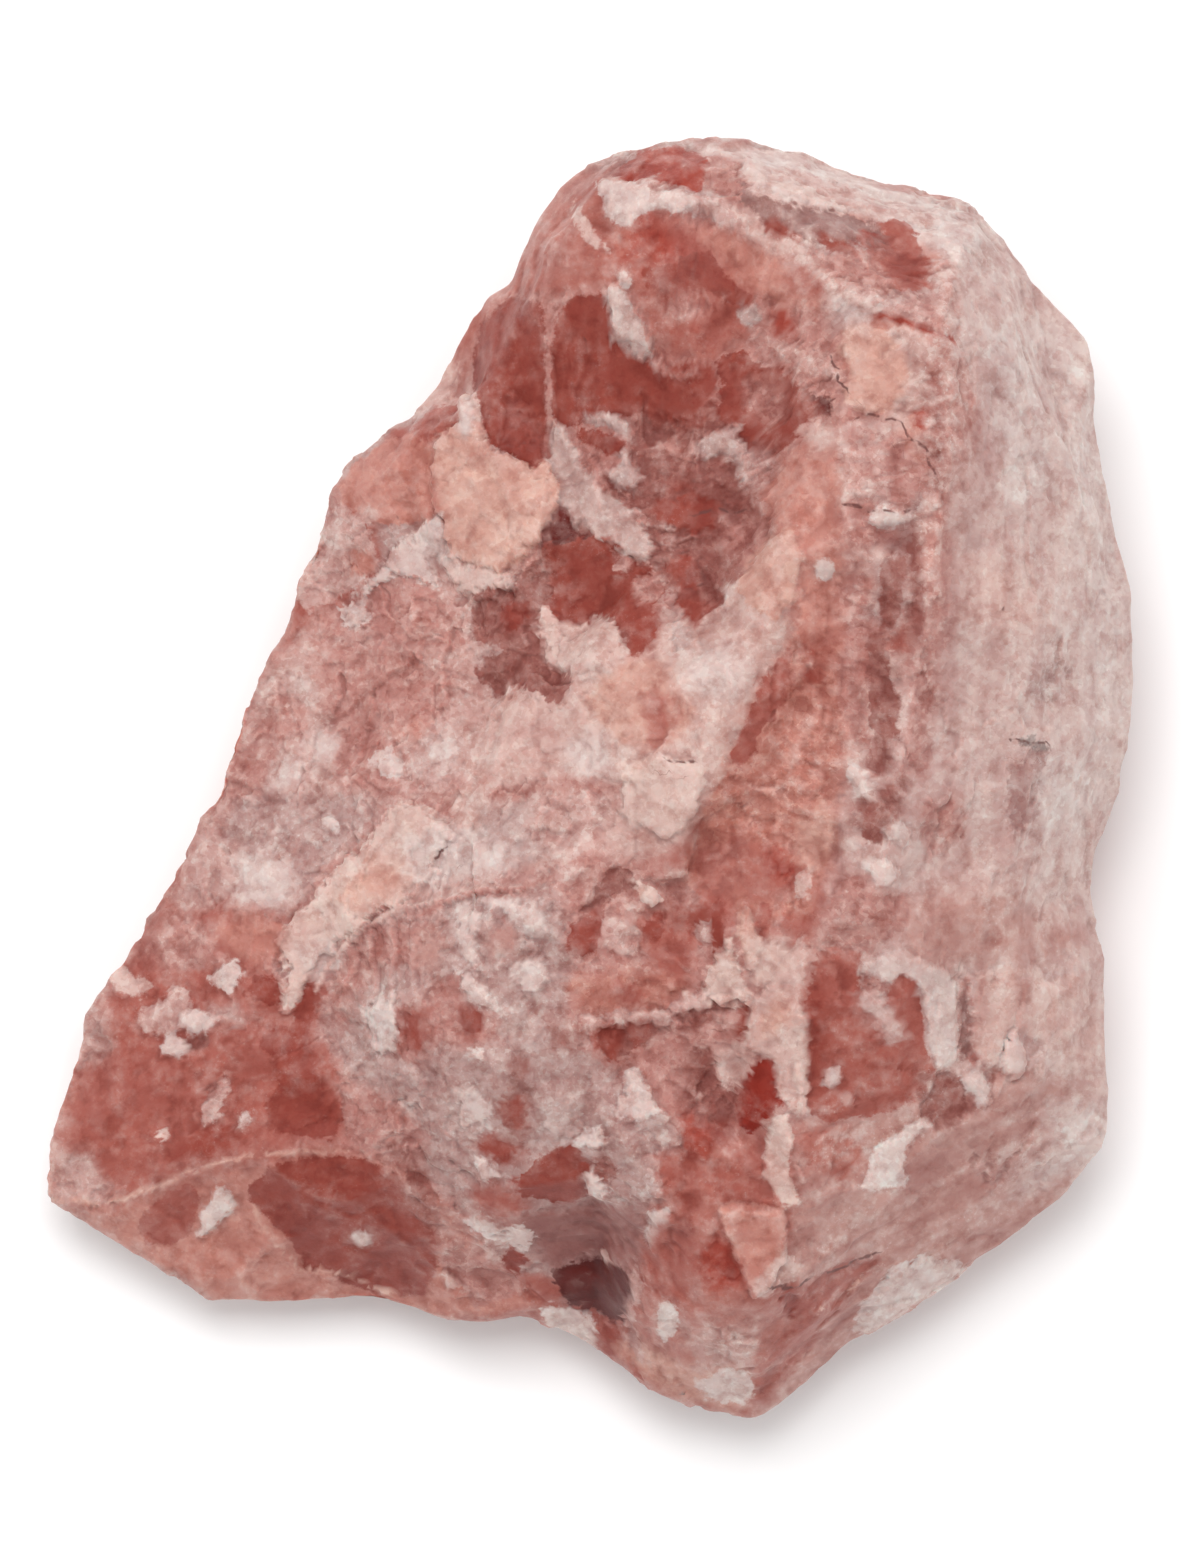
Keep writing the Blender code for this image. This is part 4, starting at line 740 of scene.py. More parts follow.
# The groove and the pale east face, then the last crumbs of the middle and the window.
EAST_PATCHES = (
    Patch(Tone.MAUVE, 0.5, 1.2, (852, 800, 880, 778, 908, 774, 902, 806, 876, 826, 856, 824)),
    Patch(Tone.ROSE, 0.8, 1.0, (918, 520, 942, 515, 948, 600, 938, 700, 925, 770, 905, 770,
        918, 600)),
    Patch(Tone.PALE, 1.6, 1.0, (1060, 330, 1085, 360, 1130, 600, 1125, 700, 1105, 790, 1085, 800,
        1095, 640)),
    Patch(Tone.BLUSH, 0.6, 1.0, (704, 842, 740, 824, 780, 850, 802, 880, 780, 897, 705, 886,
        693, 865)),
    Patch(Tone.BRICK, 0.4, 1.3, (758, 692, 790, 644, 797, 680, 745, 764, 733, 752)),
    Patch(Tone.DEEP, 0.8, 1.4, (803, 637, 822, 634, 828, 650, 820, 662, 806, 655)),
    Patch(Tone.DEEP, 0.5, 1.5, (800, 665, 825, 662, 828, 680, 808, 684)),
    Patch(Tone.CAP, 0.8, 1.3, (770, 845, 795, 842, 802, 868, 786, 880, 770, 868)),
    Patch(Tone.PEACH, 0.8, 1.4, (800, 820, 830, 800, 832, 850, 810, 870, 798, 850)),
    Patch(Tone.ROSE, 0.6, 1.4, (840, 500, 868, 505, 870, 560, 866, 640, 868, 740, 845, 740)),
    Patch(Tone.MAUVE, 0.3, 1.0, (884, 560, 900, 549, 911, 560, 893, 641, 880, 601)),
    Patch(Tone.MAUVE, 0.4, 1.1, (869, 641, 889, 620, 901, 700, 896, 741, 880, 747, 870, 721)),
    Patch(Tone.MAUVE, 0.5, 1.1, (906, 541, 925, 535, 930, 600, 922, 640, 908, 640)),
    Patch(Tone.MAUVE, 0.5, 1.3, (868, 737, 896, 735, 892, 772, 870, 765)),
    Patch(Tone.FROST, 0.2, 1.2, (845, 771, 855, 759, 866, 770, 869, 786, 858, 790), 0.3),
    Patch(Tone.FROST, 0.3, 1.5, (879, 815, 895, 820, 911, 815, 906, 841, 890, 836), 0.25),
    Patch(Tone.FROST, 0.3, 1.4, (858, 852, 890, 849, 902, 871, 880, 882), 0.25),
    Patch(Tone.SHELL, 0.4, 1.2, (798, 868, 816, 862, 812, 892, 800, 890), 0.2),
    Patch(Tone.MAUVE, 0.3, 1.5, (858, 815, 875, 812, 884, 835, 866, 838)),
    Patch(Tone.ROSE, 0.6, 1.1, (850, 862, 880, 881, 911, 890, 906, 921, 880, 941, 850, 946,
        820, 941, 830, 901)),
    Patch(Tone.ROSE, 0.6, 1.3, (925, 800, 960, 790, 965, 830, 940, 850, 925, 830)),
    Patch(Tone.SHELL, 1.2, 1.6, (975, 560, 1030, 556, 1042, 620, 1030, 641, 958, 600)),
    Patch(Tone.ROSE, 0.8, 1.5, (958, 360, 975, 365, 980, 420, 965, 480, 955, 430)),
    Patch(Tone.LILAC, 0.3, 1.5, (1020, 746, 1047, 745, 1039, 811, 1020, 832, 1008, 811)),
    Patch(Tone.DUSKGREY, 0.15, 1.2, (1012, 733, 1030, 733, 1049, 739, 1046, 745, 1013, 738)),
    Patch(Tone.PALE, 0.8, 1.5, (1050, 761, 1080, 750, 1091, 790, 1070, 831, 1045, 821, 1042, 790)),
    Patch(Tone.LILAC, 0.9, 1.5, (1020, 682, 1060, 640, 1082, 662, 1060, 701, 1030, 703)),
    Patch(Tone.SMOKE, 1.2, 1.4, (938, 882, 1000, 888, 1050, 900, 1092, 930, 1050, 960, 1000, 952,
        950, 970, 905, 950, 912, 900)),
    Patch(Tone.EAST, 1.0, 1.6, (960, 300, 1010, 290, 1020, 340, 985, 360, 960, 340)),
    Patch(Tone.PALE, 1.2, 1.4, (984, 320, 1040, 336, 1052, 480, 1012, 504, 992, 420)),
    Patch(Tone.SHELL, 0.8, 1.2, (1050, 1010, 1104, 1000, 1112, 1060, 1070, 1070, 1056, 1040)),
    Patch(Tone.DEEP, 0.5, 0.6, (811, 985, 826, 978, 830, 1040, 826, 1092, 812, 1060)),
    Patch(Tone.EAST, 0.5, 1.3, (860, 986, 884, 990, 906, 1030, 888, 1034, 876, 1010, 862, 1000)),
    Patch(Tone.HEATHER, 0.25, 0.8, (961, 988, 971, 985, 974, 1046, 964, 1054)),
    Patch(Tone.SHELL, 0.4, 0.8, (976, 965, 1035, 960, 1060, 985, 1040, 1015, 1000, 1046,
        984, 1046), 0.1),
    Patch(Tone.FROST, 0.15, 1.0, (1000, 1036, 1018, 1026, 1025, 1046, 1018, 1066, 1006, 1072,
        1000, 1058), 0.25),
    Patch(Tone.FROST, 0.15, 1.0, (960, 1068, 980, 1062, 990, 1078, 992, 1096, 982, 1100,
        976, 1086, 964, 1080), 0.2),
    Patch(Tone.SMOKE, 0.6, 1.0, (996, 1062, 1066, 1072, 1072, 1088, 1040, 1102, 1000, 1104,
        993, 1086)),
    Patch(Tone.PALE, 0.2, 0.9, (858, 1330, 862, 1300, 900, 1266, 956, 1256, 972, 1264, 870, 1332)),
    Patch(Tone.BRICK, 0.6, 1.3, (636, 912, 680, 900, 702, 914, 700, 958, 688, 976, 662, 966,
        645, 946)),
    Patch(Tone.MAUVE, 0.4, 1.1, (590, 892, 606, 868, 622, 862, 640, 872, 638, 884, 612, 892,
        604, 910, 586, 912)),
    Patch(Tone.DEEP, 0.4, 1.2, (576, 915, 604, 905, 604, 948, 584, 956, 572, 948)),
    Patch(Tone.DEEP, 0.4, 1.3, (642, 918, 666, 904, 670, 926, 660, 940, 644, 936)),
    Patch(Tone.PINK, 0.5, 1.3, (606, 915, 630, 912, 637, 930, 630, 948, 608, 944), 0.1),
    Patch(Tone.PINK, 0.4, 1.3, (702, 920, 718, 918, 720, 936, 706, 941), 0.1),
    Patch(Tone.CREAM, 0.3, 1.2, (640, 878, 660, 882, 668, 896, 656, 902, 642, 894), 0.15),
    Patch(Tone.DEEP, 0.3, 1.0, (718, 898, 728, 896, 728, 940, 717, 948), -0.1),
    Patch(Tone.DEEP, 0.2, 1.2, (604, 1022, 622, 1016, 628, 1034, 617, 1058, 606, 1050), -0.2),
    Patch(Tone.MAUVE, 0.5, 1.2, (690, 1040, 712, 1045, 722, 1076, 748, 1078, 744, 1120,
        700, 1118, 684, 1100)),
    Patch(Tone.MAUVE, 0.3, 1.3, (680, 1004, 714, 998, 720, 1016, 700, 1024, 684, 1019), -0.1),
    Patch(Tone.DEEP, 0.3, 1.0, (742, 1003, 754, 999, 752, 1016, 739, 1037, 732, 1031), -0.1),
    Patch(Tone.SHELL, 0.3, 1.2, (714, 1044, 736, 1030, 756, 1036, 760, 1056, 744, 1078,
        728, 1078), 0.1),
)

PATCHES = (
    BROAD_PATCHES + NORTH_PATCHES + MIDDLE_PATCHES + BOULDER_PATCHES + SOUTH_PATCHES + EAST_PATCHES
)

SEAMS = (
    Seam(Tone.SHELL, 0.14, 0.14, (322, 988, 334, 958, 362, 926, 400, 905, 440, 893, 482, 884,
        524, 879)),
    Seam(Tone.ROSE, 0.2, -0.08, (428, 908, 450, 896, 482, 888, 520, 884, 556, 874)),
    Seam(Tone.PEACH, 0.1, 0.05, (50, 1195, 110, 1198, 160, 1183, 215, 1160, 265, 1148, 355, 1145)),
    Seam(Tone.SHELL, 0.2, 0.15, (755, 235, 800, 250, 835, 285, 870, 310, 890, 320)),
    Seam(Tone.FROST, 0.18, 0.12, (750, 165, 775, 190, 820, 205, 870, 212)),
    Seam(Tone.CAP, 0.2, -0.15, (880, 315, 915, 326, 955, 340)),
    Seam(Tone.PEACH, 0.1, 0.08, (258, 1205, 300, 1262, 345, 1268, 395, 1290)),
)

# Cracks, and painted shadow lines under the edges of ledges and blocks, drawn dark
CRACKS_AND_SHADOW_LINES = (
    (862, 418, 874, 413, 886, 419, 897, 415, 906, 424, 913, 437, 925, 445, 930, 462, 938, 476),
    # painted shadow line under a pale block
    (846, 503, 858, 501, 870, 509, 884, 507, 896, 513, 914, 508),
    (822, 350, 831, 352, 834, 363, 843, 370, 841, 381, 848, 389),
    (664, 750, 674, 756, 686, 753, 694, 757),
    (435, 858, 445, 851, 455, 840),
    (700, 509, 725, 506, 750, 508),
    # painted shadow line under the salmon facet
    (775, 1281, 800, 1277, 830, 1266, 855, 1256, 880, 1245),
    (1012, 735, 1030, 737, 1049, 741),
    (548, 549, 560, 541, 575, 533),
)

# Under all patches: each tone, the size of its clouds, their seed and the value that it starts at.
GROUND_TONES = (
    (Tone.ROSE, 10, 11, -9.0),
    (Tone.SALMON, 14, 21, 0.0),
    (Tone.LILAC, 11, 31, 0.1),
    (Tone.BRICK, 9, 41, 0.2),
    (Tone.SHELL, 6, 51, 0.35),
)


def unit(vectors: np.ndarray) -> np.ndarray:
    """The same vectors at length one."""
    return vectors / np.linalg.norm(vectors, axis=-1, keepdims=True)


def ramp(values: np.ndarray, low: float, high: float) -> np.ndarray:
    """0 below low, 1 above high, and a smooth rise between them."""
    share = np.clip((values - low) / (high - low), 0, 1)
    return share * share * (3 - 2 * share)


def linear(colour: tuple) -> np.ndarray:
    """A colour as seen, up to 255, as linear light up to 1."""
    seen = np.array(colour) / 255
    return np.where(seen < 0.04045, seen / 12.92, ((seen + 0.055) / 1.055) ** 2.4)


def noise(points: np.ndarray, size: float, seed: int) -> np.ndarray:
    """Smooth random values from -1 to 1.

    Args:
        points: where they are wanted.
        size: distance from one random value to the next.
        seed: picks the random values.

    Returns:
        One value for each point.
    """
    tile = np.random.default_rng(seed).random((TILE, TILE, TILE)) * 2 - 1
    scaled = points / size
    home = np.floor(scaled).astype(int)
    share = scaled - home
    share = share * share * (3 - 2 * share)
    total = np.zeros(len(points))
    for step in np.ndindex(2, 2, 2):
        weight = np.prod(np.where(step, share, 1 - share), axis=1)
        total += weight * tile[tuple(((home + step) % TILE).T)]
    return total


def clouds(points: np.ndarray, size: float, seed: int, layers: int = 4) -> np.ndarray:
    """Noise with finer and finer noise on it.

    Args:
        points: where it is wanted.
        size: size of the coarsest layer, each one after it being half as large.
        seed: picks the random values.
        layers: how many.

    Returns:
        One value for each point, from about -1 to 1.
    """
    total = np.zeros(len(points))
    for layer in range(layers):
        total += noise(points + 7.3 * layer, size / 2**layer, seed + layer) * 0.6**layer
    return total * 0.9


def chips(points: np.ndarray, size: float, tilt: float, bowl: float, seed: int) -> np.ndarray:
    """Chipped relief: the lowest of many shallow tilted bowls, one round a seed in each cell.

    Args:
        points: where it is wanted.
        size: across one chip.
        tilt: slope of the chips, rise over run.
        bowl: their hollowness, per millimetre.
        seed: picks the random chips.

    Returns:
        A height for each point.
    """
    tile = np.random.default_rng(seed).random((TILE, TILE, TILE, 7))
    home = np.floor(points / size).astype(int)
    lowest = np.full(len(points), np.inf)
    for step in np.ndindex(3, 3, 3):
        cell = home + np.array(step) - 1
        number = tile[tuple((cell % TILE).T)]
        away = points - (cell + number[:, :3]) * size
        slope = (number[:, 3:6] * 2 - 1) * tilt
        start = number[:, 6] * UNEVEN * bowl * size * size
        height = start + (away * slope).sum(axis=1) + bowl * (away * away).sum(axis=1)
        lowest = np.minimum(lowest, height)
    return lowest - bowl * size * size * 0.25


def shards(points: np.ndarray, size: float, seed: int) -> tuple:
    """Angular grains: each point belongs to the nearest of many scattered middles.

    Args:
        points: where they are wanted.
        size: across one grain.
        seed: picks the middles.

    Returns:
        The way from each point to its grain's middle, and a number from 0 to 1 for the grain.
    """
    tile = np.random.default_rng(seed).random((TILE, TILE, TILE, 4))
    home = np.floor(points / size).astype(int)
    nearest = np.full(len(points), np.inf)
    way, number = np.zeros((len(points), 3)), np.zeros(len(points))
    for step in np.ndindex(3, 3, 3):
        cell = home + np.array(step) - 1
        own = tile[tuple((cell % TILE).T)]
        away = (cell + own[:, :3]) * size - points
        gap = (away * away).sum(axis=1)
        closer = gap < nearest
        nearest[closer] = gap[closer]
        way[closer], number[closer] = away[closer], own[closer, 3]
    return way, number


def terraces(points: np.ndarray, pitch: float, step: float, seed: int) -> np.ndarray:
    """Small cleavage steps: slow slopes that end in sudden drops.

    Args:
        points: where they are wanted.
        pitch: from one step to the next.
        step: height of one step.
        seed: picks their direction and how their edges wander.

    Returns:
        A height for each point.
    """
    heading = unit(np.random.default_rng(seed).normal(size=3))
    wander = clouds(points, pitch * 2.4, seed, 3) * 1.1 + shards(points, pitch * 0.5, seed)[1] * 0.3
    climb = points @ heading / pitch + wander
    share = climb - np.floor(climb)
    return step * (ramp(share, 0.84, 1.0) - share)


def drawn_out(
    points: np.ndarray, heading: float, size: float, stretch: float, seed: int
) -> np.ndarray:
    """Clouds drawn out along a level direction.

    Args:
        points: where they are wanted.
        heading: the direction, in degrees from X towards Y.
        size: their width.
        stretch: how many times longer than wide they are.
        seed: picks them.

    Returns:
        One value for each point, from about -1 to 1.
    """
    cosine, sine = math.cos(math.radians(heading)), math.sin(math.radians(heading))
    along = (points[:, 0] * cosine + points[:, 1] * sine) / stretch
    across = points[:, 1] * cosine - points[:, 0] * sine
    return clouds(np.stack([along, across, points[:, 2] / stretch**0.5], axis=1), size, seed, 4)


def on_stone(path: tuple) -> np.ndarray:
    """Points of the map, X and Y in turn, as pairs of X and Y on the stone."""
    return (np.array(path, float).reshape(-1, 2) - MAP_ORIGIN) / MAP_UNITS * (1, -1)


def gap_to(points: np.ndarray, starts: np.ndarray, ends: np.ndarray) -> np.ndarray:
    """Distance of each point from the nearest of some straight lines.

    Args:
        points: X and Y of the points.
        starts: where the lines start.
        ends: where they end.

    Returns:
        The distances.
    """
    sides = ends - starts
    away = points[:, None] - starts
    share = np.clip((away * sides).sum(axis=2) / (sides * sides).sum(axis=1), 0, 1)
    return np.linalg.norm(away - share[..., None] * sides, axis=2).min(axis=1)


def depth_in(points: np.ndarray, outline: np.ndarray) -> np.ndarray:
    """Distance of each point from a closed outline, above zero inside it.

    Args:
        points: X and Y of the points.
        outline: the outline's corners.

    Returns:
        The distances, inside by the outline's winding round each point.
    """
    ends = np.roll(outline, -1, axis=0)
    sides = ends - outline
    away = points[:, None] - outline
    above = away[..., 1] >= 0
    below = points[:, None, 1] < ends[:, 1]
    turn = sides[:, 0] * away[..., 1] - sides[:, 1] * away[..., 0]
    winding = (above & below & (turn > 0)).sum(axis=1) - (~above & ~below & (turn < 0)).sum(axis=1)
    return np.where(winding != 0, 1, -1) * gap_to(points, outline, ends)


@dataclass
class Cage:
    """The coarse form: corner points joined by flat triangles."""

    points: np.ndarray

    def triangles(self) -> np.ndarray:
        """The corners of each triangle, seen from the heart.

        Returns:
            The convex hull of the directions in which the cage's points lie.
        """
        hull = bmesh.new()
        for direction in unit(self.points - HEART):
            hull.verts.new(direction)
        hull.verts.index_update()
        bmesh.ops.convex_hull(hull, input=hull.verts)
        bmesh.ops.triangulate(hull, faces=hull.faces)
        triangles = np.array([[vert.index for vert in face.verts] for face in hull.faces])
        hull.free()
        return self.points[triangles] - HEART

    def reach(self, directions: np.ndarray, triangles: np.ndarray) -> np.ndarray:
        """How far the cage lies from the heart.

        Args:
            directions: unit vectors from the heart.
            triangles: the corners of its triangles.

        Returns:
            A distance in each direction.
        """
        first, second, third = triangles[:, 0], triangles[:, 1], triangles[:, 2]
        sides = [np.cross(first, second), np.cross(second, third), np.cross(third, first)]
        turn = np.sign(np.einsum("ij,ij->i", sides[0], third))[:, None]
        normals = np.cross(second - first, third - first)
        offsets = np.einsum("ij,ij->i", normals, first)
        distances = []
        for part in np.array_split(directions, 1 + len(directions) // 20000):
            inside = np.min([part @ (side * turn).T for side in sides], axis=0)
            chosen = inside.argmax(axis=1)
            distances.append(offsets[chosen] / np.einsum("ij,ij->i", normals[chosen], part))
        return np.concatenate(distances)


@dataclass
class Skin:
    """A closed surface of four-sided faces."""

    points: np.ndarray
    faces: np.ndarray

    def corner_sums(self, values: np.ndarray) -> np.ndarray:
        """For each point, the sum of the values of the faces round it."""
        spread = values.repeat(4, axis=0)
        return np.stack([np.bincount(self.faces.ravel(), column) for column in spread.T], axis=1)

    def wear(self, rounds: int) -> None:
        """Moves each point to the middle of the faces round it.

        Args:
            rounds: how often.
        """
        share = np.bincount(self.faces.ravel())[:, None]
        for _ in range(rounds):
            self.points = self.corner_sums(self.points[self.faces].mean(axis=1)) / share

    def throw_onto(self, cage: "Cage", rounds: int) -> None:
        """Throws the points onto a cage, then evens out their spacing along it.

        Args:
            cage: the form that they land on.
            rounds: how often they are smoothed and thrown again.
        """
        triangles = cage.triangles()
        directions = unit(self.points)
        for left in range(rounds, -1, -1):
            self.points = directions * cage.reach(directions, triangles)[:, None]
            if left:
                landed = self.points
                self.wear(EVENING)
                directions = unit(self.points)
                self.points = landed
        self.points = HEART + self.points

    def normals(self) -> np.ndarray:
        """The surface's normals, from the diagonals of the faces round each point.

        Returns:
            A unit vector for each point.
        """
        corners = self.points[self.faces]
        face_normals = np.cross(corners[:, 2] - corners[:, 0], corners[:, 3] - corners[:, 1])
        return unit(self.corner_sums(face_normals))

    def raise_by(self, height: np.ndarray, lift: np.ndarray) -> None:
        """Moves the points along the surface's normals, by a share of the height in X, Y and Z."""
        self.points = self.points + self.normals() * height[:, None] * lift

    def fit(self, low: np.ndarray, high: np.ndarray) -> None:
        """Stretches the skin to a box, after cutting it flat at the floor.

        Args:
            low: lowest corner of the box.
            high: its highest corner.
        """
        self.points[:, 2] = np.maximum(self.points[:, 2], 0)
        own_low, own_high = self.points.min(axis=0), self.points.max(axis=0)
        self.points = low + (self.points - own_low) / (own_high - own_low) * (high - low)


def box_grid(low: np.ndarray, high: np.ndarray, spacing: float) -> Skin:
    """A closed box of grid lines.

    Args:
        low: its lowest corner.
        high: its highest corner.
        spacing: of its grid lines.

    Returns:
        The box as a skin.
    """
    cells = np.round((high - low) / spacing).astype(int)
    sheets = []
    for axis in range(3):
        along, across = (axis + 1) % 3, (axis + 2) % 3
        i, j = np.meshgrid(np.arange(cells[along]), np.arange(cells[across]), indexing="ij")
        for end, steps in (
            (0, ((0, 0), (0, 1), (1, 1), (1, 0))),
            (cells[axis], ((0, 0), (1, 0), (1, 1), (0, 1))),
        ):
            sheet = np.empty((i.size, 4, 3), int)
            sheet[:, :, axis] = end
            for corner, (step_along, step_across) in enumerate(steps):
                sheet[:, corner, along] = (i + step_along).ravel()
                sheet[:, corner, across] = (j + step_across).ravel()
            sheets.append(sheet.reshape(-1, 3))
    lattice, faces = np.unique(np.concatenate(sheets), axis=0, return_inverse=True)
    return Skin(low + lattice / cells * (high - low), faces.reshape(-1, 4))


@dataclass
class Paint:
    """The stone's finish at each of some points, laid on patch by patch.

    Soft patches tint the ground. Sharp ones lie over it as a veil, whose cover passes 0.5 at
    their edge and whose edge the material then breaks up further.
    """

    points: np.ndarray
    normals: np.ndarray
    ground: np.ndarray = field(init=False)
    veil: np.ndarray = field(init=False)
    cover: np.ndarray = field(init=False)
    frost: np.ndarray = field(init=False)
    grain: np.ndarray = field(init=False)
    roughness: np.ndarray = field(init=False)
    rise: np.ndarray = field(init=False)

    def __post_init__(self) -> None:
        """Lays on the ground tones, then the patches and the seams."""
        count = len(self.points)
        self.ground, self.veil = np.zeros((count, 3)), np.zeros((count, 3))
        self.cover, self.frost, self.grain = np.zeros((3, count))
        self.roughness, self.rise = np.zeros((2, count))
        everywhere = np.arange(count)
        for tone, size, seed, low in GROUND_TONES:
            share = ramp(clouds(self.points, size, seed), low, low + 0.25)
            self.tint(tone, share, everywhere)
        facing = ramp(self.normals[:, 2], FACING_LOW, FACING_HIGH)
        coarse, fine = shards(self.points, 1.3, 61)[0], shards(self.points, 0.6, 62)[0]
        torn = clouds(self.points, 2.2, 63, 4), clouds(self.points, 2.2, 73, 4)
        parts = coarse[:, :2], fine[:, :2], np.stack(torn, axis=1)
        warp = sum(part * tear for part, tear in zip(parts, EDGE_TEAR))
        for patch in PATCHES:
            self.lay_patch(patch, warp, facing)
        for seam in SEAMS:
            self.lay_seam(seam, warp, facing)

    def tint(self, tone: Tone, share: np.ndarray, chosen: np.ndarray) -> None:
        """Tints ground and veil.

        Args:
            tone: the tone.
            share: its share at each chosen point.
            chosen: the numbers of the points.
        """
        colour = linear(tone.value.colour)
        self.ground[chosen] += (colour - self.ground[chosen]) * share[:, None]
        self.veil[chosen] += (colour - self.veil[chosen]) * share[:, None]
        self.finish(tone, share, chosen)

    def finish(self, tone: Tone, share: np.ndarray, chosen: np.ndarray) -> None:
        """Moves frost, grain and roughness towards a tone's.

        Args:
            tone: the tone.
            share: its share at each chosen point.
            chosen: the numbers of the points.
        """
        finish = tone.value
        self.frost[chosen] += (finish.frost - self.frost[chosen]) * share
        self.grain[chosen] += (finish.grain - self.grain[chosen]) * share
        self.roughness[chosen] += (finish.roughness - self.roughness[chosen]) * share

    def veil_over(self, tone: Tone, share: np.ndarray, chosen: np.ndarray) -> None:
        """Lays on a sharp-edged veil.

        Args:
            tone: its tone.
            share: its cover at each chosen point, 0.5 at its edge.
            chosen: the numbers of the points.
        """
        before = self.cover[chosen]
        weight = np.where(share >= before, np.minimum(share * 50, 1), ramp(share, 0.4, 0.6))
        self.veil[chosen] += (linear(tone.value.colour) - self.veil[chosen]) * weight[:, None]
        self.cover[chosen] = np.maximum(before, share)
        self.finish(tone, ramp(share, 0.2, 0.8), chosen)

    def near(self, path: np.ndarray, margin: float) -> np.ndarray:
        """Finds the points within a margin of a path's box.

        Args:
            path: X and Y of the path's points.
            margin: the margin.

        Returns:
            Their numbers.
        """
        low, high = path.min(axis=0) - margin, path.max(axis=0) + margin
        flat = self.points[:, :2]
        return np.flatnonzero(((flat > low) & (flat < high)).all(axis=1))

    def lay_patch(self, patch: Patch, warp: np.ndarray, facing: np.ndarray) -> None:
        """Lays one patch on.

        Args:
            patch: the patch.
            warp: the sideways shift of each point.
            facing: 1 where a point's surface looks up or sideways, 0 where it looks down.
        """
        outline = on_stone(patch.outline)
        chosen = self.near(outline, PATCH_MARGIN + patch.softness + patch.raggedness)
        torn = self.points[chosen, :2] + warp[chosen] * patch.raggedness
        depth = depth_in(torn, outline)
        if patch.softness < SHARP:
            share = np.clip(0.5 + depth / VEIL_EDGE * 0.5, 0, 1) * facing[chosen]
            self.veil_over(patch.tone, share, chosen)
        else:
            share = ramp(depth, -patch.softness, patch.softness) * facing[chosen]
            self.tint(patch.tone, share, chosen)
        self.rise[chosen] += patch.rise * ramp(depth, -0.1, 0.25) * facing[chosen]

    def cracks(self) -> tuple:
        """The nearest of the cracks and painted shadow lines, from each point.

        Returns:
            The distance from it, below zero on its right, and 1 along it, which falls to 0 past
            its ends and where the surface is steep.
        """
        side, along = np.full(len(self.points), CRACK_REACH), np.zeros(len(self.points))
        bend = np.stack([clouds(self.points, 1.1, seed, 3) for seed in (67, 68)], axis=1)
        for crack in CRACKS_AND_SHADOW_LINES:
            path = on_stone(crack)
            chosen = self.near(path, CRACK_REACH)
            spot = self.points[chosen, :2] + bend[chosen] * CRACK_BEND
            for start, end in zip(path[:-1], path[1:]):
                way = end - start
                away = spot - start
                share = (away @ way) / (way @ way)
                gap = np.linalg.norm(away - np.clip(share, 0, 1)[:, None] * way, axis=1)
                turn = np.sign(way[0] * away[:, 1] - way[1] * away[:, 0])
                closer = gap < np.abs(side[chosen])
                side[chosen[closer]] = (gap * turn)[closer]
                beyond = np.linalg.norm(way) * np.maximum(-share, share - 1)
                along[chosen[closer]] = (1 - ramp(beyond, 0.1, 0.35))[closer]
        return side, along * ramp(self.normals[:, 2], 0, 0.3)

    def lay_seam(self, seam: Seam, warp: np.ndarray, facing: np.ndarray) -> None:
        """Lays one seam on.

        Args:
            seam: the seam.
            warp: the sideways shift of each point.
            facing: 1 where a point's surface looks up or sideways, 0 where it looks down.
        """
        path = on_stone(seam.path)
        chosen = self.near(path, SEAM_MARGIN)
        torn = self.points[chosen, :2] + warp[chosen] * SEAM_TEAR
        share = 1 - ramp(gap_to(torn, path[:-1], path[1:]), seam.width * 0.5, seam.width * 1.5)
        share *= facing[chosen]
        self.tint(seam.tone, share, chosen)
        self.rise[chosen] += seam.rise * share


def lumpy(points: np.ndarray) -> np.ndarray:
    """The share of the rounded mass in the south, 0 well away from it."""
    far = np.linalg.norm(points[:, :2] - LUMPS_MIDDLE, axis=1) / LUMPS_REACH
    return np.clip(2 - 2 * far, 0, 1)


@dataclass(frozen=True)
class Chipping:
    """One kind of chips in the fine relief.

    Attributes:
        size: across one chip, in millimetres.
        tilt: slope of the chips, rise over run.
        bowl: their hollowness, per millimetre.
        seed: picks them.
        strength: what their height is multiplied by.
    """

    size: float
    tilt: float
    bowl: float
    seed: int
    strength: float

    def on(self, points: np.ndarray) -> np.ndarray:
        """Their height at each point."""
        return chips(points, self.size, self.tilt, self.bowl, self.seed) * self.strength


FACETS = Chipping(3.1, 0.34, 0.09, 2, 0.75)
SMALL_FACETS = Chipping(1.4, 0.42, 0.2, 3, 0.5)
RIBS = Chipping(1.7, 0.42, 0.16, 4, 0.6)
LUMPS = Chipping(2.3, 0, 0.11, 6, 0.9)
SMALL_LUMPS = Chipping(1.1, 0, 0.22, 7, 0.5)


def broad_relief(points: np.ndarray) -> np.ndarray:
    """Height of the large facets and lumps, which the frame has too.

    Args:
        points: where it is wanted.

    Returns:
        A height for each point.
    """
    lumps = lumpy(points)
    height = chips(points, CHIP_SIZE, CHIP_TILT, CHIP_BOWL, 1) * (1 - lumps)
    height -= chips(points, LUMP_SIZE, 0, LUMP_DOME, 5) * lumps
    return height * np.clip(points[:, 2] / FOOT_CLEARANCE, 0, 1)


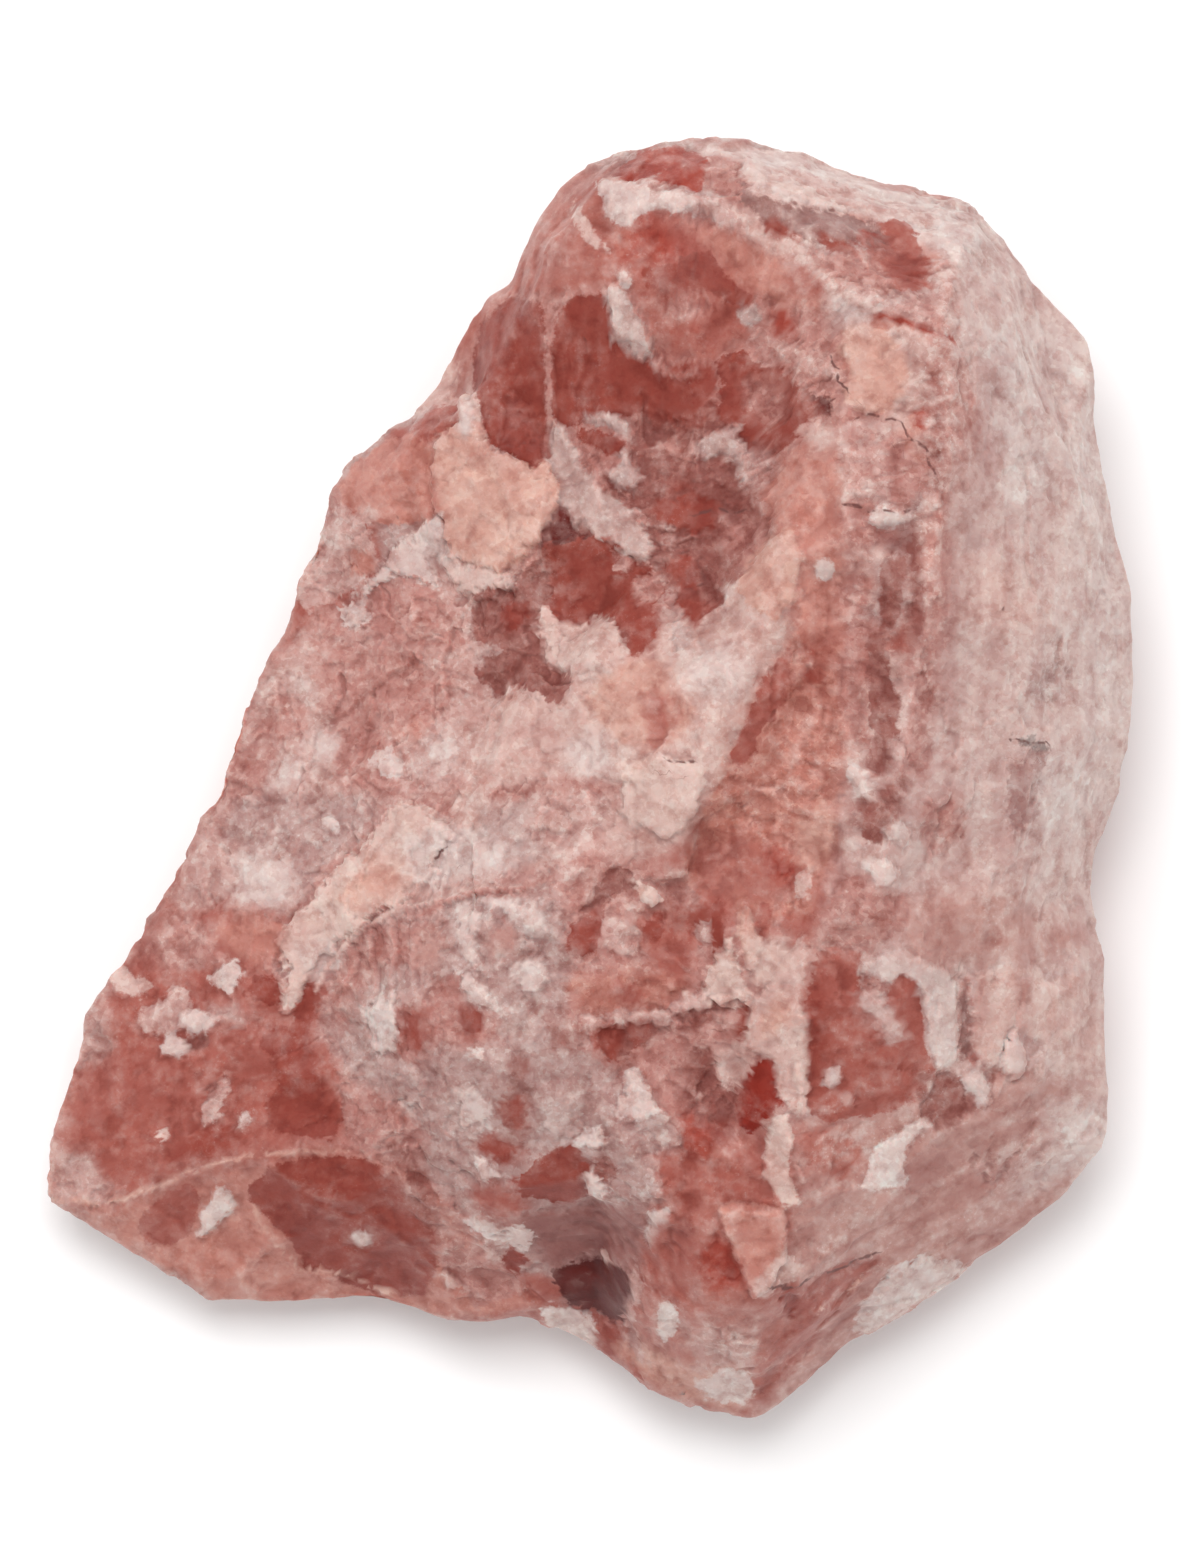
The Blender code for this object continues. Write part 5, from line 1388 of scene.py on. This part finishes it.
def fine_relief(points: np.ndarray, paint: Paint) -> np.ndarray:
    """Height of the fine chips, ribs, small lumps and raised flakes.

    Args:
        points: where it is wanted.
        paint: the finish there, whose grain and rise it follows.

    Returns:
        A height for each point.
    """
    lumps = lumpy(points)
    flat = 1 - lumps
    ribbed = ramp(points[:, 0] - 0.12 * points[:, 1], 17, 22) * flat
    bent = points + 0.5 * np.stack([noise(points, 2.2, seed) for seed in (81, 82, 83)], axis=1)
    bent = bent * RELIEF_LEVEL
    height = FACETS.on(bent) * (flat * (1 - ribbed))
    height += SMALL_FACETS.on(bent) * flat
    height += RIBS.on(bent * RIB_LEVEL) * ribbed
    height -= LUMPS.on(bent) * lumps
    height -= SMALL_LUMPS.on(bent) * lumps
    height += terraces(bent, 3.4, 0.45, 9) * flat
    height += terraces(bent, 1.7, 0.22, 12) * flat * (1 - 0.7 * ribbed)
    height += noise(points, 0.62, 8) * 0.05
    return (height * paint.grain + paint.rise) * np.clip(points[:, 2] / FOOT_CLEARANCE, 0, 1)


def nodes_of(material: bpy.types.Material) -> tuple:
    """Gets a material ready for its nodes.

    Args:
        material: the material.

    Returns:
        Its node tree, and its shader.
    """
    material.use_nodes = True
    tree = material.node_tree
    return tree, tree.nodes["Principled BSDF"]


@dataclass
class Nodes:
    """A material's node tree, which hands on the sockets of what is added to it.

    Attributes:
        tree: the node tree.
    """

    tree: bpy.types.NodeTree

    def add(self, kind: str, **settings: object) -> bpy.types.Node:
        """Adds a node.

        Args:
            kind: its Blender type.
            settings: its properties, and the values of its sockets by name.

        Returns:
            The node.
        """
        node = self.tree.nodes.new(kind)
        for name, value in settings.items():
            socket = node.inputs.get(name.replace("_", " "))
            if socket is None:
                setattr(node, name, value)
            else:
                socket.default_value = value
        return node

    def feed(self, socket: Socket, value: object) -> None:
        """Links a socket to what it gets, or sets it.

        Args:
            socket: the socket.
            value: another socket, a number or a colour.
        """
        if isinstance(value, Socket):
            self.tree.links.new(value, socket)
        else:
            socket.default_value = value

    def read(self, name: str, output: str = "Fac") -> Socket:
        """The socket of one of the mesh's own values."""
        return self.add("ShaderNodeAttribute", attribute_name=name).outputs[output]

    def noise(self, spot: Socket, scale: float, detail: float, roughness: float) -> Socket:
        """Adds a noise pattern.

        Args:
            spot: the coordinates, in millimetres.
            scale: grains to a millimetre.
            detail: how much finer noise it carries.
            roughness: strength of the finer noise.

        Returns:
            The socket with its value.
        """
        node = self.add("ShaderNodeTexNoise", Scale=scale, Detail=detail, Roughness=roughness)
        self.feed(node.inputs["Vector"], spot)
        return node.outputs["Fac"]

    def band(self, value: Socket, low: float, high: float) -> Socket:
        """Turns a value into a share.

        Args:
            value: the value.
            low: where the share is 0.
            high: where it is 1, above or below the other.

        Returns:
            The socket with the share.
        """
        node = self.add("ShaderNodeMapRange", interpolation_type="SMOOTHSTEP")
        node.inputs["From Min"].default_value = low
        node.inputs["From Max"].default_value = high
        self.feed(node.inputs["Value"], value)
        return node.outputs["Result"]

    def speckle(
        self, spot: Socket, scale: float, low: float, high: float, detail: float = 5.0
    ) -> Socket:
        """Adds a noise pattern as a share.

        Args:
            spot: the coordinates, in millimetres.
            scale: grains to a millimetre.
            low: the noise value that gives 0.
            high: the noise value that gives 1.
            detail: how much finer noise it carries.

        Returns:
            The socket with the share.
        """
        return self.band(self.noise(spot, scale, detail, 0.6), low, high)

    def times(self, *values: object) -> Socket:
        """Multiplies shares.

        Args:
            values: two or more sockets or numbers.

        Returns:
            The socket with the product, which is kept between 0 and 1.
        """
        product = values[0]
        for value in values[1:]:
            node = self.add("ShaderNodeMath", operation="MULTIPLY", use_clamp=True)
            self.feed(node.inputs[0], product)
            self.feed(node.inputs[1], value)
            product = node.outputs[0]
        return product

    def mix(self, share: Socket, first: object, second: object) -> Socket:
        """Mixes two colours.

        Args:
            share: the second colour's share.
            first: a socket or a colour.
            second: another.

        Returns:
            The socket with the mixed colour.
        """
        node = self.add("ShaderNodeMix", data_type="RGBA")
        self.feed(node.inputs["Factor"], share)
        self.feed(node.inputs[6], first)
        self.feed(node.inputs[7], second)
        return node.outputs[2]

    def tinted(self, colour: Socket, glass: tuple) -> Socket:
        """Adds a colour as seen through a coloured glass.

        Args:
            colour: the colour.
            glass: what red, green and blue are multiplied by.

        Returns:
            The socket with the new colour.
        """
        node = self.add("ShaderNodeMix", data_type="RGBA", blend_type="MULTIPLY")
        node.inputs["Factor"].default_value = 1.0
        self.feed(node.inputs[6], colour)
        self.feed(node.inputs[7], glass)
        return node.outputs[2]

    def crumbs(self, spot: Socket, scale: float, nudge: float) -> Socket:
        """Adds a random number for each angular crumb.

        Args:
            spot: the coordinates, in millimetres.
            scale: crumbs to a millimetre.
            nudge: how crooked they are, as a share of a crumb.

        Returns:
            The socket with the number.
        """
        shift = self.add("ShaderNodeTexNoise", Scale=scale * 2, Detail=3.0)
        self.feed(shift.inputs["Vector"], spot)
        short = self.add("ShaderNodeVectorMath", operation="SCALE", Scale=nudge / scale)
        self.feed(short.inputs[0], shift.outputs["Color"])
        bent = self.add("ShaderNodeVectorMath", operation="ADD")
        self.feed(bent.inputs[0], spot)
        self.feed(bent.inputs[1], short.outputs[0])
        cells = self.add("ShaderNodeTexVoronoi", Scale=scale)
        self.feed(cells.inputs["Vector"], bent.outputs[0])
        parts = self.add("ShaderNodeSeparateColor")
        self.feed(parts.inputs[0], cells.outputs["Color"])
        return parts.outputs[0]


@dataclass
class StoneMaterial:
    """Waxy translucent calcite, whose colour and frost come from the mesh.

    Attributes:
        name: its name.
        deep: glass over the darker clouds.
        milk: colour of the frosty clouds.
        fleck: colour of the frosty dots, which also serve as painted glints.
        layers: for each layer of crumbs, the crumbs to a millimetre and its strength.
        nudge: how crooked the crumbs are, as a share of a crumb.
        bright: glass over the palest crumbs.
        dull: glass over the darkest crumbs.
        gap: colour in a crack, and of the painted shadow lines under ledges.
        bleed: how far red, green and blue light goes in, beside each other.
    """

    name: str = "calcite"
    deep: tuple = (0.70, 0.52, 0.49, 1)
    milk: tuple = (0.62, 0.48, 0.44, 1)
    fleck: tuple = (0.70, 0.58, 0.55, 1)
    layers: tuple = ((1.5, 0.3), (3.2, 0.34))
    nudge: float = 0.55
    bright: tuple = (1.25, 1.6, 1.62, 1)
    dull: tuple = (0.66, 0.46, 0.43, 1)
    gap: tuple = (0.13, 0.045, 0.04, 1)
    bleed: tuple = (1.0, 0.38, 0.3)

    def spot(self, nodes: Nodes) -> Socket:
        """Adds the coordinates of the fine patterns.

        Args:
            nodes: the material's nodes.

        Returns:
            Their socket, in millimetres.
        """
        place = nodes.add("ShaderNodeTexCoord")
        scaled = nodes.add("ShaderNodeVectorMath", operation="MULTIPLY")
        nodes.feed(scaled.inputs[0], place.outputs["Object"])
        scaled.inputs[1].default_value = GRAIN_SPREAD
        return scaled.outputs[0]

    def veiled(self, nodes: Nodes, spot: Socket) -> Socket:
        """Lays the veil on the ground, with a broken edge.

        Args:
            nodes: the material's nodes.
            spot: the coordinates.

        Returns:
            The socket with the colour.
        """
        torn = nodes.add("ShaderNodeMath", operation="MULTIPLY_ADD")
        nodes.feed(torn.inputs[0], nodes.noise(spot, 2.2, 6.0, 0.65))
        torn.inputs[1].default_value = 0.54
        nodes.feed(torn.inputs[2], nodes.read("cover"))
        share = nodes.band(torn.outputs[0], 0.69, 0.85)
        return nodes.mix(share, nodes.read("tint", "Color"), nodes.read("veil", "Color"))

    def clouded(self, nodes: Nodes, spot: Socket, colour: Socket) -> Socket:
        """Adds darker clouds, frosty clouds and frosty dots, the dots also serving as painted
        glints.

        Args:
            nodes: the material's nodes.
            spot: the coordinates.
            colour: the colour under them.

        Returns:
            The socket with the new colour.
        """
        frost = nodes.read("frost")
        dark = nodes.times(nodes.speckle(spot, 0.75, 0.47, 0.68), 0.65)
        colour = nodes.mix(dark, colour, nodes.tinted(colour, self.deep))
        haze = nodes.times(frost, nodes.speckle(spot, 1.15, 0.38, 0.68, 7.0), 0.75)
        colour = nodes.mix(haze, colour, self.milk)
        # frosty dots, also painted glints
        dots = nodes.times(frost, nodes.speckle(spot, 4.5, 0.58, 0.72, 4.0), 0.5)
        return nodes.mix(dots, colour, self.fleck)

    def crumbled(self, nodes: Nodes, spot: Socket, colour: Socket, grain: Socket) -> Socket:
        """Breaks a colour up into pale and dark crumbs.

        Args:
            nodes: the material's nodes.
            spot: the coordinates.
            colour: the colour.
            grain: strength of the fine chipping.

        Returns:
            The socket with the new colour.
        """
        for scale, strength in self.layers:
            number = nodes.crumbs(spot, scale, self.nudge)
            for low, high, glass in ((0.55, 0.95, self.bright), (0.42, 0.05, self.dull)):
                share = nodes.times(nodes.band(number, low, high), grain, strength)
                colour = nodes.mix(share, colour, nodes.tinted(colour, glass))
        return colour

    def cracked(self, nodes: Nodes, spot: Socket, colour: Socket) -> Socket:
        """Draws the cracks and the painted shadow lines under ledges, thin and broken.

        Args:
            nodes: the material's nodes.
            spot: the coordinates.
            colour: the colour beside them.

        Returns:
            The socket with the new colour.
        """
        distance = nodes.add("ShaderNodeMath", operation="ABSOLUTE")
        nodes.feed(distance.inputs[0], nodes.read("crack"))
        line = nodes.band(distance.outputs[0], 0.14, 0.03)
        whole = nodes.speckle(spot, 1.3, 0.40, 0.56, 2.0)
        share = nodes.times(line, nodes.read("along"), whole, 0.85)
        return nodes.mix(share, colour, self.gap)

    def make(self) -> bpy.types.Material:
        """Makes the material.

        Returns:
            The finished material.
        """
        material = bpy.data.materials.new(self.name)
        tree, shader = nodes_of(material)
        nodes = Nodes(tree)
        spot = self.spot(nodes)
        grain = nodes.read("grain")
        colour = self.clouded(nodes, spot, self.veiled(nodes, spot))
        colour = self.cracked(nodes, spot, self.crumbled(nodes, spot, colour, grain))
        nodes.feed(shader.inputs["Base Color"], colour)
        nodes.feed(shader.inputs["Roughness"], nodes.read("rough"))
        bump = nodes.add("ShaderNodeBump", Strength=0.7, Distance=0.0002)
        pits = nodes.noise(spot, 2.2, 6.0, 0.62)
        nodes.feed(bump.inputs["Height"], nodes.times(pits, grain))
        nodes.feed(shader.inputs["Normal"], bump.outputs["Normal"])
        shader.inputs["Subsurface Weight"].default_value = 0.45
        shader.inputs["Subsurface Radius"].default_value = self.bleed
        shader.inputs["Subsurface Scale"].default_value = 0.0006
        shader.inputs["Specular IOR Level"].default_value = 0.12
        shader.inputs["IOR"].default_value = 1.49
        return material


@dataclass
class Stone:
    """The lump of calcite.

    Attributes:
        low: lowest corner of its box.
        high: highest corner of its box.
    """

    low: np.ndarray
    high: np.ndarray

    def skin(self) -> Skin:
        """Makes the broken surface on a fine grid.

        Returns:
            The surface, in millimetres.
        """
        cage = Cage(CAGE)
        skin = box_grid(CAGE.min(axis=0) - HEART, CAGE.max(axis=0) - HEART, GRID_SPACING)
        skin.throw_onto(cage, 2)
        skin.wear(max(1, round((WEAR / GRID_SPACING) ** 2)))
        skin.raise_by(broad_relief(skin.points), LIFT)
        skin.fit(self.low, self.high)
        paint = Paint(skin.points, skin.normals())
        skin.raise_by(fine_relief(skin.points, paint), FINE_LIFT)
        skin.fit(self.low, self.high)
        return skin

    def mesh(self) -> bpy.types.Mesh:
        """Makes the surface into a mesh, thinned out where it is flat.

        Returns:
            The mesh, in metres.
        """
        skin = self.skin()
        dense = bpy.data.meshes.new("dense")
        dense.from_pydata((skin.points * MILLIMETRE).tolist(), [], skin.faces.tolist())
        holder = bpy.data.objects.new("dense", dense)
        bpy.context.scene.collection.objects.link(holder)
        thin = holder.modifiers.new("thin", "DECIMATE")
        thin.ratio = min(1.0, TRIANGLES / (2 * len(skin.faces)))
        graph = bpy.context.evaluated_depsgraph_get()
        mesh = bpy.data.meshes.new_from_object(holder.evaluated_get(graph))
        bpy.data.objects.remove(holder)
        bpy.data.meshes.remove(dense)
        return mesh

    def surface_of(self, mesh: bpy.types.Mesh) -> tuple:
        """Reads a mesh's surface back.

        Args:
            mesh: the mesh.

        Returns:
            Its points, in millimetres, and their normals.
        """
        points = np.empty(len(mesh.vertices) * 3, np.float32)
        normals = np.empty(len(mesh.vertices) * 3, np.float32)
        mesh.vertices.foreach_get("co", points)
        mesh.vertex_normals.foreach_get("vector", normals)
        points = points.reshape(-1, 3).astype(float) / MILLIMETRE
        return points, normals.reshape(-1, 3).astype(float)

    def relief_of(
        self, mesh: bpy.types.Mesh, points: np.ndarray, normals: np.ndarray, rounds: int
    ) -> np.ndarray:
        """Measures how far each point stands above its surroundings.

        Args:
            mesh: the mesh, for its edges.
            points: its points.
            normals: its normals.
            rounds: how far the surroundings reach, in steps from point to point.

        Returns:
            A height for each point, below zero in a hollow.
        """
        ends = np.empty(len(mesh.edges) * 2, np.int32)
        mesh.edges.foreach_get("vertices", ends)
        first, second = ends.reshape(-1, 2).T
        both, other = np.concatenate([first, second]), np.concatenate([second, first])
        share = np.bincount(both, minlength=len(points))[:, None]
        smooth = points
        for _ in range(rounds):
            around = [np.bincount(both, column, len(points)) for column in smooth[other].T]
            smooth = smooth * 0.4 + np.stack(around, axis=1) / share * 0.6
        return ((points - smooth) * normals).sum(axis=1)

    def streaks(self, points: np.ndarray) -> tuple:
        """The pale and dark streaks, with the fibres of the east and south-east faces.

        Args:
            points: where they are wanted.

        Returns:
            The strength of them all at each point, and that of the fibres alone.
        """
        level = points * STREAK_LEVEL
        grains = shards(level, 1.5, 95)[1] + shards(level, 0.75, 96)[1] - 1
        streak = clouds(level, 2.6, 91, 4) * 0.75 + grains * 0.5
        east = ramp(points[:, 0], 19.5, 22.5) * ramp(points[:, 1], -21, -17)
        fibres = drawn_out(points, 88, 1.3, 9, 97) * east * 1.25
        south_east = ramp(points[:, 0], 12, 15) * ramp(-points[:, 1], 18, 22)
        fibres += drawn_out(points, 26, 0.7, 14, 98) * south_east * 1.2
        return streak + fibres * 0.85, fibres

    def dress(self, mesh: bpy.types.Mesh) -> None:
        """Gives the mesh its colours, frost, grain, roughness, cracks and painted shadow lines,
        with painted shade in the hollows and painted rim light on the steep sides.

        Args:
            mesh: the stone's mesh.
        """
        points, normals = self.surface_of(mesh)
        paint = Paint(points, normals)
        near = self.relief_of(mesh, points, normals, 5)
        wide = self.relief_of(mesh, points, normals, 30)
        # worn ridges: paler crushed stone along the crests
        worn_ridge_and_rim_light = ramp(near, 0.02, 0.12) * 0.45 + ramp(wide, 0.15, 0.6) * 0.2
        # painted shade: hollows and creases get darker colour and thinner frost
        hollow = ramp(-wide, 0.08, 0.5) * 0.5 + ramp(-near, 0.015, 0.08) * 0.55
        streak, fibres = self.streaks(points)
        # painted rim light: steep sides that face outwards are made paler and frostier
        rim = (1 - ramp(normals[:, 2], 0.1, 0.45)) * ramp(normals[:, 2], -0.35, 0.0)
        worn_ridge_and_rim_light = (worn_ridge_and_rim_light + rim * 0.3) * (0.35 + 1.4 * paint.frost)
        # frost share: its own, raised on the worn ridges and by the painted rim light, lowered by
        # the painted shade in hollows, with streaks and fibres
        frost = paint.frost + worn_ridge_and_rim_light * 0.5 - hollow * 0.3 + streak * 0.25 + fibres * 0.35
        worn_and_rim_light = linear(WORN_AND_RIM_LIGHT_COLOUR)
        for name, colour in (("tint", paint.ground), ("veil", paint.veil)):
            # painted shade in the hollows
            colour = colour * (1 - hollow[:, None] * HOLLOW_SHADE)
            # the worn ridges and the painted rim light take the pale worn colour
            colour += (worn_and_rim_light - colour) * (worn_ridge_and_rim_light * 0.4)[:, None]
            colour *= 1 + streak[:, None] * STREAK_TINT
            colour = np.c_[np.clip(colour * SHADE, 0, 1), np.ones(len(colour))]
            layer = mesh.color_attributes.new(name, "FLOAT_COLOR", "POINT")
            layer.data.foreach_set("color", colour.astype(np.float32).ravel())
        side, along = paint.cracks()
        numbers = {"frost": np.clip(frost, 0, 1), "rough": paint.roughness, "cover": paint.cover}
        numbers.update({"crack": side, "along": along, "grain": paint.grain})
        for name, values in numbers.items():
            layer = mesh.attributes.new(name, "FLOAT", "POINT")
            layer.data.foreach_set("value", values.astype(np.float32))

    def build(self) -> bpy.types.Object:
        """Makes the stone, which stands for the frame's own.

        Returns:
            The stone.
        """
        mesh = self.mesh()
        mesh.name = "calcite_dressed"
        self.dress(mesh)
        mesh.shade_smooth()
        mesh.materials.append(StoneMaterial().make())
        stone = bpy.data.objects.new("calcite_stone", mesh)
        bpy.context.scene.collection.objects.link(stone)
        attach(stone, "root")
        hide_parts("calcite")
        return stone


@dataclass
class Studio:
    """A pale floor, soft light from high in the north, and the camera straight above.

    Attributes:
        floor_half: half of the floor's side, in metres.
        floor_grey: brightness of the floor's colour.
        floor_roughness: the floor's roughness.
        key_size: side of the key light, in metres.
        key_power: its power, in watts.
        key_place: where it hangs, in metres.
        surround: strength of the white surroundings.
        lens: the camera's focal length, in millimetres.
        sensor: its sensor's longer side, in millimetres.
        view_height: length that fills the picture's height, in metres.
        rim: the level at which it does, in metres.
        aim: X and Y of the point that the camera looks down on, in metres.
    """

    floor_half: float = 3.0
    floor_grey: float = 0.93
    floor_roughness: float = 0.9
    key_size: float = 0.8
    key_power: float = 15.0
    key_place: tuple = (-0.1, 0.54, 1.42)
    surround: float = 0.79
    lens: float = 1000.0
    sensor: float = 36.0
    view_height: float = 0.0969
    rim: float = 0.010
    aim: tuple = (0.00065, 0.00019)

    def floor(self) -> bpy.types.Object:
        """Makes the plain pale floor.

        Returns:
            The floor.
        """
        half = self.floor_half
        mesh = bpy.data.meshes.new("floor")
        corners = [(-half, -half, 0), (half, -half, 0), (half, half, 0), (-half, half, 0)]
        mesh.from_pydata(corners, [], [(0, 1, 2, 3)])
        material = bpy.data.materials.new("floor")
        shader = nodes_of(material)[1]
        shader.inputs["Base Color"].default_value = (*[self.floor_grey] * 3, 1)
        shader.inputs["Roughness"].default_value = self.floor_roughness
        mesh.materials.append(material)
        floor = bpy.data.objects.new("floor", mesh)
        bpy.context.scene.collection.objects.link(floor)
        return floor

    def lamp(self, name: str, size: float, power: float, place: tuple) -> None:
        """Hangs a square soft light, aimed at the stone.

        Args:
            name: its name.
            size: its side, in metres.
            power: its power, in watts.
            place: where it hangs, in metres.
        """
        light = bpy.data.lights.new(name, "AREA")
        light.size = size
        light.energy = power
        lamp = bpy.data.objects.new(name, light)
        lamp.location = place
        aim = -np.array(place, float)
        lamp.rotation_euler = (
            math.atan2(math.hypot(aim[0], aim[1]), -aim[2]),
            0,
            math.atan2(aim[0], -aim[1]) + math.pi,
        )
        bpy.context.scene.collection.objects.link(lamp)

    def light(self) -> None:
        """Sets up the key light and the white surroundings."""
        self.lamp("key", self.key_size, self.key_power, self.key_place)
        world = bpy.data.worlds.new("studio")
        bpy.context.scene.world = world
        world.use_nodes = True
        background = world.node_tree.nodes["Background"]
        background.inputs["Color"].default_value = (1, 1, 1, 1)
        background.inputs["Strength"].default_value = self.surround
        bpy.context.scene.view_settings.view_transform = "Standard"

    def camera(self) -> bpy.types.Object:
        """Sets up the camera, looking straight down with north at the top of the picture.

        Returns:
            The camera.
        """
        data = bpy.data.cameras.new("camera")
        data.lens = self.lens
        data.sensor_width = self.sensor
        camera = bpy.data.objects.new("camera", data)
        distance = self.view_height * self.lens / self.sensor
        camera.location = (*self.aim, self.rim + distance)
        data.clip_end = 10.0
        bpy.context.scene.collection.objects.link(camera)
        bpy.context.scene.camera = camera
        return camera


def main() -> None:
    """Builds the stone and its studio."""
    logging.basicConfig(level=logging.INFO, format="%(name)s: %(message)s")
    low, high = np.array(cad_low) / MILLIMETRE, np.array(cad_high) / MILLIMETRE
    stone = Stone(low, high).build()
    LOG.info("stone: %d vertices, %d faces", len(stone.data.vertices), len(stone.data.polygons))
    studio = Studio()
    LOG.info("floor: %s", studio.floor().name)
    studio.light()
    LOG.info("camera: %s", studio.camera().name)


if __name__ == "__main__":
    main()
